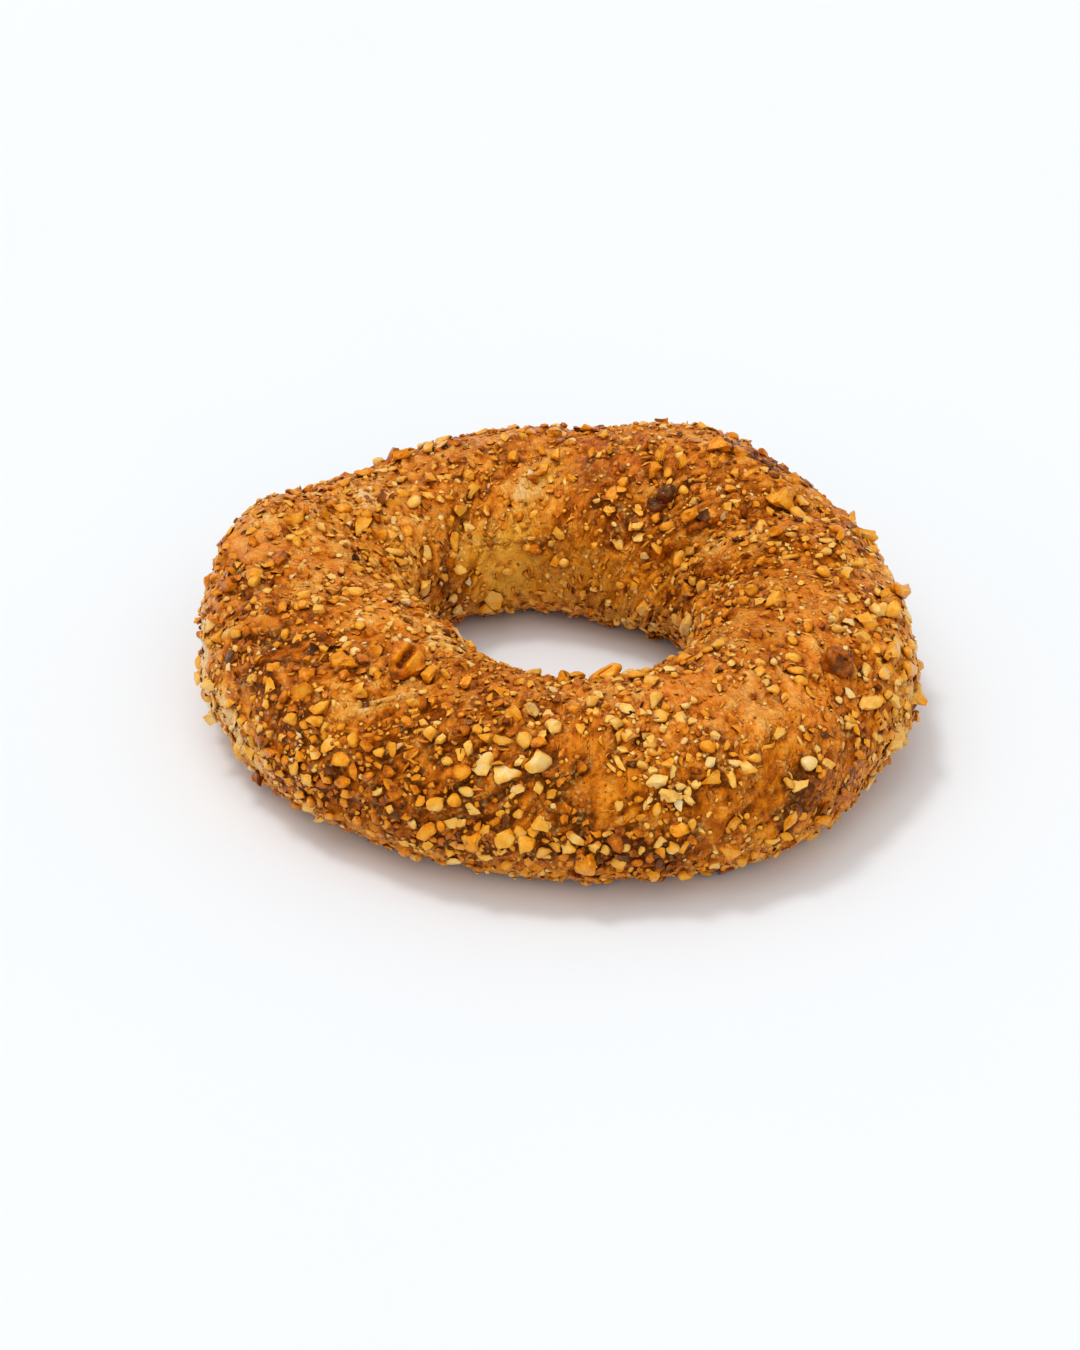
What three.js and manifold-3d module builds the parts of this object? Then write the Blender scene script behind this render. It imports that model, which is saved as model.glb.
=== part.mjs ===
// A thick simit: one ring of twisted, baked dough about 165 mm across, and the four largest pieces of
// nut that are pressed into its crust. Millimetres, +Z up, resting on its flat underside at z = 0,
// with the middle of its box on the Z axis.

import * as THREE from "three";
import { mergeVertices } from "three/addons/utils/BufferGeometryUtils.js";
import Module from "manifold-3d";

// ---------------------------------------------------------------------------------------------
// Driving dimensions
// ---------------------------------------------------------------------------------------------

// The ring is a rope of dough bent round the Z axis. Its sizes are given at twelve stations, the
// first on +X and the others every 30 degrees towards +Y, and blend smoothly from one to the next.
const centrelineRadius = [54.5, 55.3, 51.5, 53.0, 58.2, 60.7, 59.4, 55.0, 51.0, 52.2, 53.7, 55.4];
const halfWidth = [24.8, 26.2, 28.6, 27.7, 25.1, 24.4, 25.6, 26.2, 25.4, 23.9, 25.1, 25.3];
const height = [37.9, 38.7, 38.7, 37.6, 36.6, 37.0, 38.1, 38.9, 38.5, 36.8, 37.1, 37.4];

// The rope's section is a superellipse, cut off flat where the dough rests.
const squareness = 2.17; // exponent: 2 is an ellipse, more is squarer
const widestPlace = 0.44; // height of the widest place, as a share of the rope's height
const lowerHalf = 1.1; // depth of the lower half, as a share of the height of the widest place

// Directions on the rope are pairs of angles in degrees: "around" goes round the ring from +X towards
// +Y, and "section" goes round the rope, 0 facing outwards, 90 up and 180 into the hole.

// Creases between the twisted strands, each a furrow from one place on the rope to another.
const creases = [
  { from: [25, 55], to: [36, 158], depth: 2.8, width: 4.5 },
  { from: [4, 45], to: [9, 152], depth: 1.3, width: 4.0 },
  { from: [84, 50], to: [124, 150], depth: 2.0, width: 5.0 },
  { from: [144, 50], to: [168, 152], depth: 2.2, width: 6.0 },
  { from: [222, 30], to: [242, 92], depth: 1.5, width: 4.5 },
  { from: [264, 20], to: [294, 72], depth: 1.4, width: 5.0 },
];

// Swellings where a strand stands out or, with a negative rise, lies back. Spread is in degrees
// around the ring and round the section.
const swellings = [
  { at: [62, 45], rise: 4.4, spread: [18, 40] },
  { at: [130, 70], rise: -4.0, spread: [14, 45] },
  { at: [157, 42], rise: 3.6, spread: [15, 45] },
  { at: [203, 150], rise: 5.3, spread: [22, 40] },
  { at: [308, 0], rise: 4.7, spread: [24, 45] },
  { at: [345, 15], rise: 2.9, spread: [14, 40] },
];

// The large pieces of nut: where each sits, its length, width and thickness, how far it is turned in
// the plane of the crust, the share of its thickness that is pressed in, and how lumpy it is.
const largeNuts = {
  walnut_chunk: { at: [227.5, 91.5], size: [10.6, 8.6, 7.0], turn: 35, pressedIn: 0.4, lumps: 0.16 },
  caramelised_nut: { at: [55.5, 117], size: [9.4, 7.0, 7.0], turn: 70, pressedIn: 0.42, lumps: 0.22 },
  browned_nut: { at: [330.5, 58.5], size: [8.0, 7.2, 6.6], turn: 15, pressedIn: 0.4, lumps: 0.14 },
  rim_nut: { at: [284.5, 129], size: [8.6, 5.4, 5.4], turn: 10, pressedIn: 0.38, lumps: 0.2 },
};
const nutClearance = 0.3; // gap left between a nut and the crust it sits in

const stepsAround = 96;
const stepsSection = 38;
const nutDetail = 3; // subdivisions of the icosahedron that a nut starts from

const materials = {
  crust: new THREE.MeshStandardMaterial({ color: 0xb9722a, roughness: 0.72, metalness: 0 }),
  toasted_nut: new THREE.MeshStandardMaterial({ color: 0xc98f45, roughness: 0.5, metalness: 0 }),
  dark_nut: new THREE.MeshStandardMaterial({ color: 0x4a2414, roughness: 0.32, metalness: 0 }),
};

// ---------------------------------------------------------------------------------------------
// The rope
// ---------------------------------------------------------------------------------------------

const radians = THREE.MathUtils.degToRad;
const nominalRadius = 54; // radius and half width at which a crease's length is measured
const nominalHalfWidth = 25;
const radiusShare = 0.6; // share of the half width that counts in a crease's own radius

// The signed turn from one angle to another, between -180 and 180 degrees.
function turnBetween(from, to) {
  return THREE.MathUtils.euclideanModulo(to - from + 180, 360) - 180;
}

// The weight of a station at a distance of so many stations: a cubic B-spline.
function stationWeight(distance) {
  const d = Math.abs(distance);
  if (d < 1) return 2 / 3 - d ** 2 + d ** 3 / 2;
  if (d < 2) return (2 - d) ** 3 / 6;
  return 0;
}

// A size that is given at the stations, at any angle around the ring.
function sizeAt(stations, around) {
  const stationAngle = 360 / stations.length;
  return stations.reduce((sum, size, i) => {
    const distance = turnBetween(i * stationAngle, around) / stationAngle;
    return sum + size * stationWeight(distance);
  }, 0);
}

// Distance in millimetres from a place on the rope to the line of a crease, on the unrolled crust.
function distanceToCrease(crease, around, section, localRadius) {
  const x = radians(turnBetween(crease.from[0], around)) * localRadius;
  const y = radians(turnBetween(crease.from[1], section)) * nominalHalfWidth;
  const lineX = radians(crease.to[0] - crease.from[0]) * nominalRadius;
  const lineY = radians(crease.to[1] - crease.from[1]) * nominalHalfWidth;
  const share = (x * lineX + y * lineY) / (lineX ** 2 + lineY ** 2);
  const along = THREE.MathUtils.clamp(share, 0, 1);
  return Math.hypot(x - along * lineX, y - along * lineY);
}

// How far the crust stands out from the smooth rope at a place.
function relief(around, section, localRadius) {
  let rise = 0;
  for (const crease of creases) {
    const distance = distanceToCrease(crease, around, section, localRadius);
    rise -= crease.depth * Math.exp(-((distance / crease.width) ** 2));
  }
  for (const swelling of swellings) {
    const a = turnBetween(swelling.at[0], around) / swelling.spread[0];
    const s = turnBetween(swelling.at[1], section) / swelling.spread[1];
    rise += swelling.rise * Math.exp(-(a ** 2) - s ** 2);
  }
  return rise;
}

// The point of the crust in a direction on the rope. The crust can be grown by an even thickness.
function crustPoint(around, section, grow = 0) {
  const cosine = Math.cos(radians(section));
  const sine = Math.sin(radians(section));
  const radius = sizeAt(centrelineRadius, around);
  const half = sizeAt(halfWidth, around) + grow;
  const top = sizeAt(height, around) + grow;
  const centre = widestPlace * top;
  const round = (Math.abs(cosine) ** squareness + Math.abs(sine) ** squareness) ** (-1 / squareness);
  const reach = sine > 0 ? top - centre : centre * lowerHalf;
  const rise = relief(around, section, radius + half * cosine * radiusShare);
  const outwards = radius + half * round * cosine + rise * cosine;
  const up = centre + reach * round * sine + rise * sine;
  return new THREE.Vector3(
    outwards * Math.cos(radians(around)),
    outwards * Math.sin(radians(around)),
    Math.max(up, 0),
  );
}

// The closed crust, as a grid that wraps round the ring and round the rope.
function crustGeometry(grow = 0) {
  const positions = [];
  for (let i = 0; i < stepsAround; i++) {
    for (let j = 0; j < stepsSection; j++) {
      const around = (i * 360) / stepsAround;
      const section = (j * 360) / stepsSection;
      positions.push(...crustPoint(around, section, grow).toArray());
    }
  }
  const vertex = (i, j) => (i % stepsAround) * stepsSection + (j % stepsSection);
  const faces = [];
  for (let i = 0; i < stepsAround; i++) {
    for (let j = 0; j < stepsSection; j++) {
      const near = vertex(i, j);
      const next = vertex(i + 1, j);
      const nextUp = vertex(i + 1, j + 1);
      const nearUp = vertex(i, j + 1);
      faces.push(near, next, nextUp, near, nextUp, nearUp);
    }
  }
  const geometry = new THREE.BufferGeometry();
  geometry.setAttribute("position", new THREE.Float32BufferAttribute(positions, 3));
  geometry.setIndex(faces);
  return geometry;
}

// ---------------------------------------------------------------------------------------------
// The large pieces of nut
// ---------------------------------------------------------------------------------------------

// The outward direction of the crust at a place, from its neighbours a little way off.
function crustNormal(around, section) {
  const step = 1.5;
  const forward = crustPoint(around + step, section).sub(crustPoint(around - step, section));
  const upward = crustPoint(around, section + step).sub(crustPoint(around, section - step));
  return forward.cross(upward).normalize();
}

const broadLumps = 0.35; // shares of a nut's lumpiness that its broad and its fine lumps take
const fineLumps = 0.5;

// A lumpy pebble of the nut's length, width and thickness. Each nut's lumps start at its own place.
function nutGeometry(nut) {
  const pebble = new THREE.IcosahedronGeometry(1, nutDetail);
  pebble.deleteAttribute("normal");
  pebble.deleteAttribute("uv");
  const geometry = mergeVertices(pebble, 1e-4);
  const position = geometry.getAttribute("position");
  const start = nut.at[0] + nut.at[1];
  for (let i = 0; i < position.count; i++) {
    const p = new THREE.Vector3().fromBufferAttribute(position, i);
    const broad = Math.sin(2.3 * p.x + start) + Math.sin(2.9 * p.y - start);
    const fine = Math.sin(4.7 * p.z + 3.1 * p.x + start) * Math.cos(4.1 * p.y - start);
    p.multiplyScalar(1 + nut.lumps * (broadLumps * broad + fineLumps * fine));
    p.multiply(new THREE.Vector3(...nut.size).multiplyScalar(0.5));
    position.setXYZ(i, p.x, p.y, p.z);
  }
  return geometry;
}

// The nut's place: its thickness along the crust's normal, its length turned from the horizontal.
function nutPlacement(nut) {
  const normal = crustNormal(...nut.at);
  const level = new THREE.Vector3(0, 0, 1).cross(normal).normalize();
  const side = normal.clone().cross(level);
  const turned = new THREE.Matrix4().makeRotationZ(radians(nut.turn));
  const placement = new THREE.Matrix4().makeBasis(level, side, normal).multiply(turned);
  const lift = nut.size[2] * (0.5 - nut.pressedIn);
  return placement.setPosition(crustPoint(...nut.at).addScaledVector(normal, lift));
}

const wasm = await Module();
wasm.setup();

function toSolid(geometry) {
  return new wasm.Manifold(
    new wasm.Mesh({
      numProp: 3,
      vertProperties: geometry.getAttribute("position").array,
      triVerts: new Uint32Array(geometry.index.array),
    }),
  );
}

function toGeometry(solid) {
  const mesh = solid.getMesh();
  const geometry = new THREE.BufferGeometry();
  geometry.setAttribute("position", new THREE.BufferAttribute(mesh.vertProperties, 3));
  geometry.setIndex(new THREE.BufferAttribute(mesh.triVerts, 1));
  return geometry;
}

// What stands out of the crust: the pebble without the part that the crust takes up.
function nutAbove(nut, grownCrust) {
  const pebble = nutGeometry(nut).applyMatrix4(nutPlacement(nut));
  return toGeometry(toSolid(pebble).subtract(grownCrust));
}

// ---------------------------------------------------------------------------------------------
// The simit
// ---------------------------------------------------------------------------------------------

const bread = new THREE.Group();

function addPiece(name, geometry, material) {
  const piece = new THREE.Mesh(geometry, material.clone());
  piece.name = name;
  piece.geometry.computeVertexNormals();
  bread.add(piece);
}

addPiece("bread_ring", crustGeometry(), materials.crust);

const grownCrust = toSolid(crustGeometry(nutClearance));
const nutMaterial = {
  walnut_chunk: materials.toasted_nut,
  caramelised_nut: materials.dark_nut,
  browned_nut: materials.toasted_nut,
  rim_nut: materials.toasted_nut,
};
for (const [name, nut] of Object.entries(largeNuts)) {
  addPiece(name, nutAbove(nut, grownCrust), nutMaterial[name]);
}

// The middle of the box goes on the Z axis, and the flat underside stays at z = 0.
const middle = new THREE.Box3().setFromObject(bread).getCenter(new THREE.Vector3());
bread.position.set(-middle.x, -middle.y, 0);

const simit = new THREE.Group();
simit.name = "simit";
simit.add(bread);

export default simit;
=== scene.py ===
"""A thick simit with a browned, twisted crust, coated in chopped nuts, nut crumbs, flakes and seeds.

Sizes are in millimetres and become metres when a mesh is made. Directions on the rope of dough are pairs
of angles in degrees: "around" goes round the ring from +X towards +Y, and "section" goes round the rope,
0 facing outwards, 90 up and 180 into the hole. Places that were judged in the picture are given in
its 1080 by 1350 pixels and are carried onto the crust by rays from the camera.
"""

import itertools
import math
from dataclasses import dataclass

import bmesh
import bpy
import numpy as np
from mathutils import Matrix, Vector
from mathutils.bvhtree import BVHTree
from mathutils.kdtree import KDTree


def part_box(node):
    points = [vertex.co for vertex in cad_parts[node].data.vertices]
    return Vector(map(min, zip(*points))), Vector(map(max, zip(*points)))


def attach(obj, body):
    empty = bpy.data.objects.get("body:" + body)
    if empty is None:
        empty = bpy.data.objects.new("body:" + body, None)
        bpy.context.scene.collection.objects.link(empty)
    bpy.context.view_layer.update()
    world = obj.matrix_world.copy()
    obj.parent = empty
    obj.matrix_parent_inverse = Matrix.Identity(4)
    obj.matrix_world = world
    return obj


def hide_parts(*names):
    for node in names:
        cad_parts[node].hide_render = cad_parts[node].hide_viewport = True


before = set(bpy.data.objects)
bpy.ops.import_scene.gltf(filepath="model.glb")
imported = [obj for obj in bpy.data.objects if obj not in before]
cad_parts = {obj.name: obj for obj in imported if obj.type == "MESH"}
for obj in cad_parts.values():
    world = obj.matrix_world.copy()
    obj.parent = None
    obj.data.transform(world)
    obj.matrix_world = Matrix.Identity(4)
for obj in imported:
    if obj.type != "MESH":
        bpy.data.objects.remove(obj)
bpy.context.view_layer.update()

MM = 0.001

# ---- The picture's camera ----

PICTURE_WIDTH = 1080
PICTURE_HEIGHT = 1350
SENSOR = 36.0
LENS = 88.0
ELEVATION = math.radians(34.8)
CAMERA_DISTANCE = 750.0
TARGET = np.array([-3.79, -19.13, 20.0])

FOCAL_PIXELS = LENS / SENSOR * PICTURE_HEIGHT
RIGHTWARD = np.array([1.0, 0.0, 0.0])
FORWARD = np.array([0.0, math.cos(ELEVATION), -math.sin(ELEVATION)])
UPWARD = np.array([0.0, math.sin(ELEVATION), math.cos(ELEVATION)])
EYE = TARGET - CAMERA_DISTANCE * FORWARD


def make_camera():
    data = bpy.data.cameras.new("camera")
    data.lens = LENS
    data.sensor_width = SENSOR
    data.clip_end = 20
    camera = bpy.data.objects.new("camera", data)
    camera.location = Vector(EYE * MM)
    camera.rotation_euler = (math.pi / 2 - ELEVATION, 0, 0)
    bpy.context.scene.collection.objects.link(camera)
    bpy.context.scene.camera = camera


def picture_ray(x, y):
    """The direction in which the camera sees a pixel of the picture."""
    rightward = (x - PICTURE_WIDTH / 2) / FOCAL_PIXELS
    upward = (PICTURE_HEIGHT / 2 - y) / FOCAL_PIXELS
    direction = FORWARD + rightward * RIGHTWARD + upward * UPWARD
    return direction / np.linalg.norm(direction)


# ---- The rope of dough: the same named sizes as the solid model ----

STATION_RADIUS = [54.5, 55.3, 51.5, 53.0, 58.2, 60.7, 59.4, 55.0, 51.0, 52.2, 53.7, 55.4]
STATION_HALF_WIDTH = [24.8, 26.2, 28.6, 27.7, 25.1, 24.4, 25.6, 26.2, 25.4, 23.9, 25.1, 25.3]
STATION_HEIGHT = [37.9, 38.7, 38.7, 37.6, 36.6, 37.0, 38.1, 38.9, 38.5, 36.8, 37.1, 37.4]
SQUARENESS = 2.17
WIDEST_PLACE = 0.44
LOWER_HALF = 1.1
NOMINAL_RADIUS = 54.0
NOMINAL_HALF_WIDTH = 25.0
RADIUS_SHARE = 0.6
INSET = 0.85  # how far the crust lies inside the solid, which also holds the nuts' own height


@dataclass
class Crease:
    """A furrow between two strands, from one place on the rope to another."""

    start: tuple
    end: tuple
    depth: float
    width: float


@dataclass
class Swelling:
    """A place where a strand stands out or, with a negative rise, lies back."""

    at: tuple
    rise: float
    spread: tuple


CREASES = [
    Crease((25, 55), (36, 158), 2.8, 4.5),
    Crease((4, 45), (9, 152), 1.3, 4.0),
    Crease((84, 50), (124, 150), 2.0, 5.0),
    Crease((144, 50), (168, 152), 2.2, 6.0),
    Crease((222, 30), (242, 92), 1.5, 4.5),
    Crease((264, 20), (294, 72), 1.4, 5.0),
]
SWELLINGS = [
    Swelling((62, 45), 4.4, (18, 40)),
    Swelling((130, 70), -4.0, (14, 45)),
    Swelling((157, 42), 3.6, (15, 45)),
    Swelling((203, 150), 5.3, (22, 40)),
    Swelling((308, 0), 4.7, (24, 45)),
    Swelling((345, 15), 2.9, (14, 40)),
]


def turn_between(start, end):
    """The signed turn from one angle to another, between -180 and 180 degrees."""
    return (end - start + 180) % 360 - 180


def size_at(stations, around):
    """A size given at the stations, at any angle around the ring, blended by a cubic B-spline."""
    step = 360 / len(stations)
    total = np.zeros_like(around)
    for index, size in enumerate(stations):
        distance = np.abs(turn_between(index * step, around)) / step
        near = 2 / 3 - distance**2 + distance**3 / 2
        far = np.clip(2 - distance, 0, None) ** 3 / 6
        total += size * np.where(distance < 1, near, far)
    return total


def distance_to_crease(crease, around, section, radius):
    """Distance from places on the rope to the line of a crease, on the unrolled crust."""
    x = np.radians(turn_between(crease.start[0], around)) * radius
    y = np.radians(turn_between(crease.start[1], section)) * NOMINAL_HALF_WIDTH
    line_x = math.radians(crease.end[0] - crease.start[0]) * NOMINAL_RADIUS
    line_y = math.radians(crease.end[1] - crease.start[1]) * NOMINAL_HALF_WIDTH
    share = np.clip((x * line_x + y * line_y) / (line_x**2 + line_y**2), 0, 1)
    return np.hypot(x - share * line_x, y - share * line_y)


def strand_relief(around, section, radius):
    """How far the twist makes the dough stand out from a smooth rope."""
    rise = np.zeros_like(around)
    for crease in CREASES:
        distance = distance_to_crease(crease, around, section, radius)
        rise -= crease.depth * np.exp(-((distance / crease.width) ** 2))
    for swelling in SWELLINGS:
        a = turn_between(swelling.at[0], around) / swelling.spread[0]
        s = turn_between(swelling.at[1], section) / swelling.spread[1]
        rise += swelling.rise * np.exp(-(a**2) - s**2)
    return rise


def rope_point(around, section, inset=0.0):
    """Points of the dough in directions on the rope, in the ring's own frame."""
    around, section = np.broadcast_arrays(np.asarray(around, float), np.asarray(section, float))
    cosine = np.cos(np.radians(section))
    sine = np.sin(np.radians(section))
    radius = size_at(STATION_RADIUS, around)
    half = size_at(STATION_HALF_WIDTH, around) - inset
    top = size_at(STATION_HEIGHT, around) - inset
    centre = WIDEST_PLACE * top
    roundness = (np.abs(cosine) ** SQUARENESS + np.abs(sine) ** SQUARENESS) ** (-1 / SQUARENESS)
    reach = np.where(sine > 0, top - centre, centre * LOWER_HALF)
    rise = strand_relief(around, section, radius + half * cosine * RADIUS_SHARE)
    outwards = radius + half * roundness * cosine + rise * cosine
    up = np.maximum(centre + reach * roundness * sine + rise * sine, 0)
    return np.stack(
        [outwards * np.cos(np.radians(around)), outwards * np.sin(np.radians(around)), up], axis=-1
    )


def ring_shift():
    """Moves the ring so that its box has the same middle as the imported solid's."""
    around, section = np.meshgrid(np.arange(0, 360, 3.75), np.arange(0, 360, 3.75))
    points = rope_point(around, section).reshape(-1, 3)
    low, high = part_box("bread_ring")
    middle = (np.array(low) + np.array(high)) / 2 / MM
    shift = middle - (points.min(axis=0) + points.max(axis=0)) / 2
    shift[2] = 0
    return shift


SHIFT = ring_shift()


def dough_point(around, section):
    return rope_point(around, section, INSET) + SHIFT


def unit(vectors):
    return vectors / np.maximum(np.linalg.norm(vectors, axis=-1, keepdims=True), 1e-9)


def dough_normal(around, section):
    """Outward directions of the dough, from neighbours a little way off."""
    step = 0.8
    forward = dough_point(around + step, section) - dough_point(around - step, section)
    upward = dough_point(around, section + step) - dough_point(around, section - step)
    return unit(np.cross(forward, upward))


# ---- Noise, and strokes drawn over the crust ----

LATTICE = np.random.default_rng(5).permutation(256)
SLOPES = unit(np.random.default_rng(6).normal(size=(256, 3)))
JITTER = np.random.default_rng(7).random((256, 3))
SEED_STEP = 7.31  # how far apart, in cells, the noises of two seeds are taken
NOISE_GAIN = 1.6  # brings the noise's usual range to about -1 to 1


def lattice_number(cell):
    """A number from 0 to 255 for each cell of a grid in space, as if at random."""
    hashed = np.zeros(cell.shape[:-1], int)
    for axis in range(3):
        hashed = LATTICE[(hashed + cell[..., axis]) & 255]
    return hashed


def noise(points, wavelength, seed=0):
    """Smooth gradient noise at points, from about -1 to 1."""
    scaled = points / wavelength + seed * SEED_STEP
    cell = np.floor(scaled).astype(int)
    part = scaled - cell
    fade = part**3 * (part * (part * 6 - 15) + 10)
    total = np.zeros(points.shape[:-1])
    for corner in itertools.product((0, 1), repeat=3):
        slope = SLOPES[lattice_number(cell + corner)]
        weight = np.prod(np.where(corner, fade, 1 - fade), axis=-1)
        total += weight * np.sum(slope * (part - corner), axis=-1)
    return NOISE_GAIN * total


def ridges(points, wavelength, seed):
    """Sharp winding crests, from 0 between them to 1 on them."""
    return np.clip(1 - np.abs(noise(points, wavelength, seed)) / 0.4, 0, 1) ** 1.5


def knobs(points, spacing, share, seed):
    """Rounded knobs at scattered places, each with a height of its own, on a share of the places."""
    scaled = points / spacing + seed * SEED_STEP
    cell = np.floor(scaled).astype(int)
    height = np.zeros(points.shape[:-1])
    for step in itertools.product((-1, 0, 1), repeat=3):
        number = lattice_number(cell + step)
        gap = np.linalg.norm(scaled - (cell + step + JITTER[number]), axis=-1)
        own = LATTICE[(number + 91) & 255] / 255
        size = 0.3 + 0.3 * JITTER[number][..., 0]
        dome = np.sqrt(np.clip(1 - (gap / size) ** 2, 0, 1)) * np.clip(own / share, 0, 1)
        height = np.maximum(height, np.where(own < share, dome, 0))
    return height


def smoothstep(low, high, value):
    share = np.clip((value - low) / (high - low), 0, 1)
    return share * share * (3 - 2 * share)


def grid_faces(rows, columns):
    """Quads of a grid that wraps round both ways."""
    row, column = np.meshgrid(np.arange(rows), np.arange(columns), indexing="ij")
    next_row = (row + 1) % rows
    next_column = (column + 1) % columns
    corners = [
        row * columns + column,
        next_row * columns + column,
        next_row * columns + next_column,
        row * columns + next_column,
    ]
    return np.stack(corners, axis=-1).reshape(-1, 4)


def ray_tree(points, faces):
    return BVHTree.FromPolygons(points.tolist(), faces.tolist())


PLAIN_AROUND = 300
PLAIN_SECTION = 100
plain_around, plain_section = np.meshgrid(
    np.arange(PLAIN_AROUND) * 360 / PLAIN_AROUND,
    np.arange(PLAIN_SECTION) * 360 / PLAIN_SECTION,
    indexing="ij",
)
plain_points = dough_point(plain_around, plain_section).reshape(-1, 3)
plain_tree = ray_tree(plain_points, grid_faces(PLAIN_AROUND, PLAIN_SECTION))


STROKE_POINTS = 14
STROKE_END = 2.5  # the distance at which nothing is left of a stroke, in reaches


@dataclass
class Stroke:
    """A soft stroke over the crust between two places in the picture. Its reach is in millimetres."""

    start: tuple
    end: tuple
    reach: float
    amount: float

    def path(self):
        """Points of the stroke on the crust."""
        found = []
        for x, y in np.linspace(self.start, self.end, STROKE_POINTS):
            hit = plain_tree.ray_cast(EYE.tolist(), picture_ray(x, y).tolist())[0]
            if hit is not None:
                found.append(np.array(hit))
        return np.array(found)


def strokes(*rows):
    """Strokes from rows of x and y at the start, x and y at the end, the reach and the strength."""
    return [Stroke(row[:2], row[2:4], *row[4:]) for row in rows]


def stroke_field(points, chosen):
    """The sum of some strokes at points on the crust."""
    total = np.zeros(len(points))
    for stroke in chosen:
        path = stroke.path()
        if not len(path):
            continue
        margin = STROKE_END * stroke.reach
        inside = np.all((points > path.min(0) - margin) & (points < path.max(0) + margin), axis=1)
        near = points[inside]
        if not len(near):
            continue
        gaps = np.linalg.norm(near[:, None] - path[None], axis=2).min(axis=1)
        total[inside] += stroke.amount * np.exp(-((gaps / stroke.reach) ** 2))
    return total


# Folds finer than the creases of the twist, in millimetres: ridges, or furrows where negative.
FOLDS = strokes(
    (698, 584, 865, 559, 2.4, -1.5), (672, 562, 784, 506, 3.0, -2.2), (700, 565, 800, 530, 3.0, 1.2),
    (520, 499, 560, 462, 3.0, -0.8), (343, 719, 409, 693, 1.8, 1.1), (350, 731, 424, 709, 2.0, -1.5),
    (572, 779, 620, 747, 2.0, -0.8), (620, 747, 690, 736, 2.0, -0.7), (336, 533, 357, 552, 2.0, -0.6),
    (640, 640, 760, 610, 2.4, -0.5), (690, 720, 820, 690, 2.6, -0.5), (240, 600, 330, 560, 2.4, -0.5),
    (250, 690, 330, 650, 2.2, -0.5), (715, 448, 790, 482, 5.0, 0.9), (214, 560, 236, 530, 5.0, 1.0),
    (820, 805, 885, 765, 5.0, -0.9), (240, 765, 290, 795, 5.0, -0.6),
)

# Where the crust is more wrinkled (positive) or smoother (negative).
WRINKLING = strokes(
    (235, 620, 290, 700, 8.0, 0.8), (300, 640, 380, 720, 7.0, 0.3), (380, 740, 470, 790, 8.0, 0.4),
    (690, 520, 760, 545, 6.0, 0.8), (650, 600, 700, 560, 6.0, 0.5), (230, 540, 320, 550, 6.0, -0.3),
    (700, 690, 800, 700, 8.0, -0.2), (590, 780, 760, 800, 6.0, -0.5), (480, 560, 640, 580, 8.0, -0.3),
    (590, 440, 680, 450, 8.0, -0.2),
)

# Where the crust is browner (positive) or paler (negative) than it is elsewhere.
# Pale strokes down the outer flanks paint the light there; brown ones on the lower front rim, its shade.
BROWNING_AND_SHADING = strokes(
    (590, 450, 650, 458, 8.0, 0.28), (690, 436, 790, 480, 6.0, -0.24), (575, 450, 610, 510, 6.0, 0.18),
    (590, 500, 660, 540, 8.0, 0.16), (690, 600, 740, 570, 6.0, 0.12), (245, 590, 260, 660, 6.0, 0.2),
    (250, 660, 300, 720, 7.0, 0.22), (310, 650, 390, 680, 6.0, 0.16), (355, 722, 426, 707, 3.0, 0.3),
    (400, 740, 460, 780, 9.0, 0.2), (330, 785, 400, 815, 6.0, 0.3), (470, 790, 560, 800, 6.0, 0.12),
    (450, 845, 700, 850, 5.0, 0.24), (700, 805, 800, 785, 6.0, 0.14), (835, 690, 850, 760, 5.0, 0.14),
    (438, 545, 452, 600, 4.0, 0.2), (566, 448, 536, 480, 4.5, -0.38), (526, 496, 510, 534, 4.5, -0.28),
    (203, 600, 206, 715, 5.0, -1.1), (208, 690, 250, 750, 5.0, -1.2), (343, 718, 409, 692, 2.8, -0.46),
    (490, 603, 680, 628, 3.0, -0.3), (470, 560, 660, 590, 9.0, -0.18), (640, 590, 690, 600, 5.0, 0.08),
    (600, 780, 740, 795, 7.0, 0.04), (490, 715, 560, 770, 8.0, 0.1), (350, 490, 400, 560, 9.0, -0.26),
    (330, 560, 420, 610, 8.0, -0.16), (440, 640, 600, 690, 7.0, -0.32), (870, 540, 915, 640, 7.0, -0.36),
    (915, 650, 890, 750, 7.0, -0.42), (385, 498, 400, 520, 6.0, -0.14), (490, 548, 510, 588, 6.0, -0.4),
    (395, 588, 410, 595, 6.0, -0.1), (425, 680, 440, 690, 6.0, -0.1), (870, 640, 885, 670, 5.0, -0.12),
    (825, 530, 845, 548, 5.0, -0.14), (600, 445, 620, 460, 6.0, -0.1), (765, 510, 785, 525, 5.0, 0.1),
    (700, 542, 752, 534, 5.0, -0.34), (436, 580, 446, 602, 4.0, 0.3), (310, 585, 360, 615, 6.0, -0.24),
    (240, 530, 400, 490, 9.0, -0.22), (550, 775, 570, 785, 6.0, 0.14), (450, 843, 640, 858, 4.0, 0.14),
    (700, 795, 790, 805, 6.0, 0.14), (740, 585, 765, 600, 6.0, 0.08), (800, 800, 850, 785, 6.0, 0.14),
    (590, 845, 660, 850, 5.0, 0.2), (745, 690, 795, 710, 8.0, -0.12), (480, 550, 490, 572, 6.0, -0.04),
    (790, 560, 850, 530, 8.0, 0.04),
)

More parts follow.
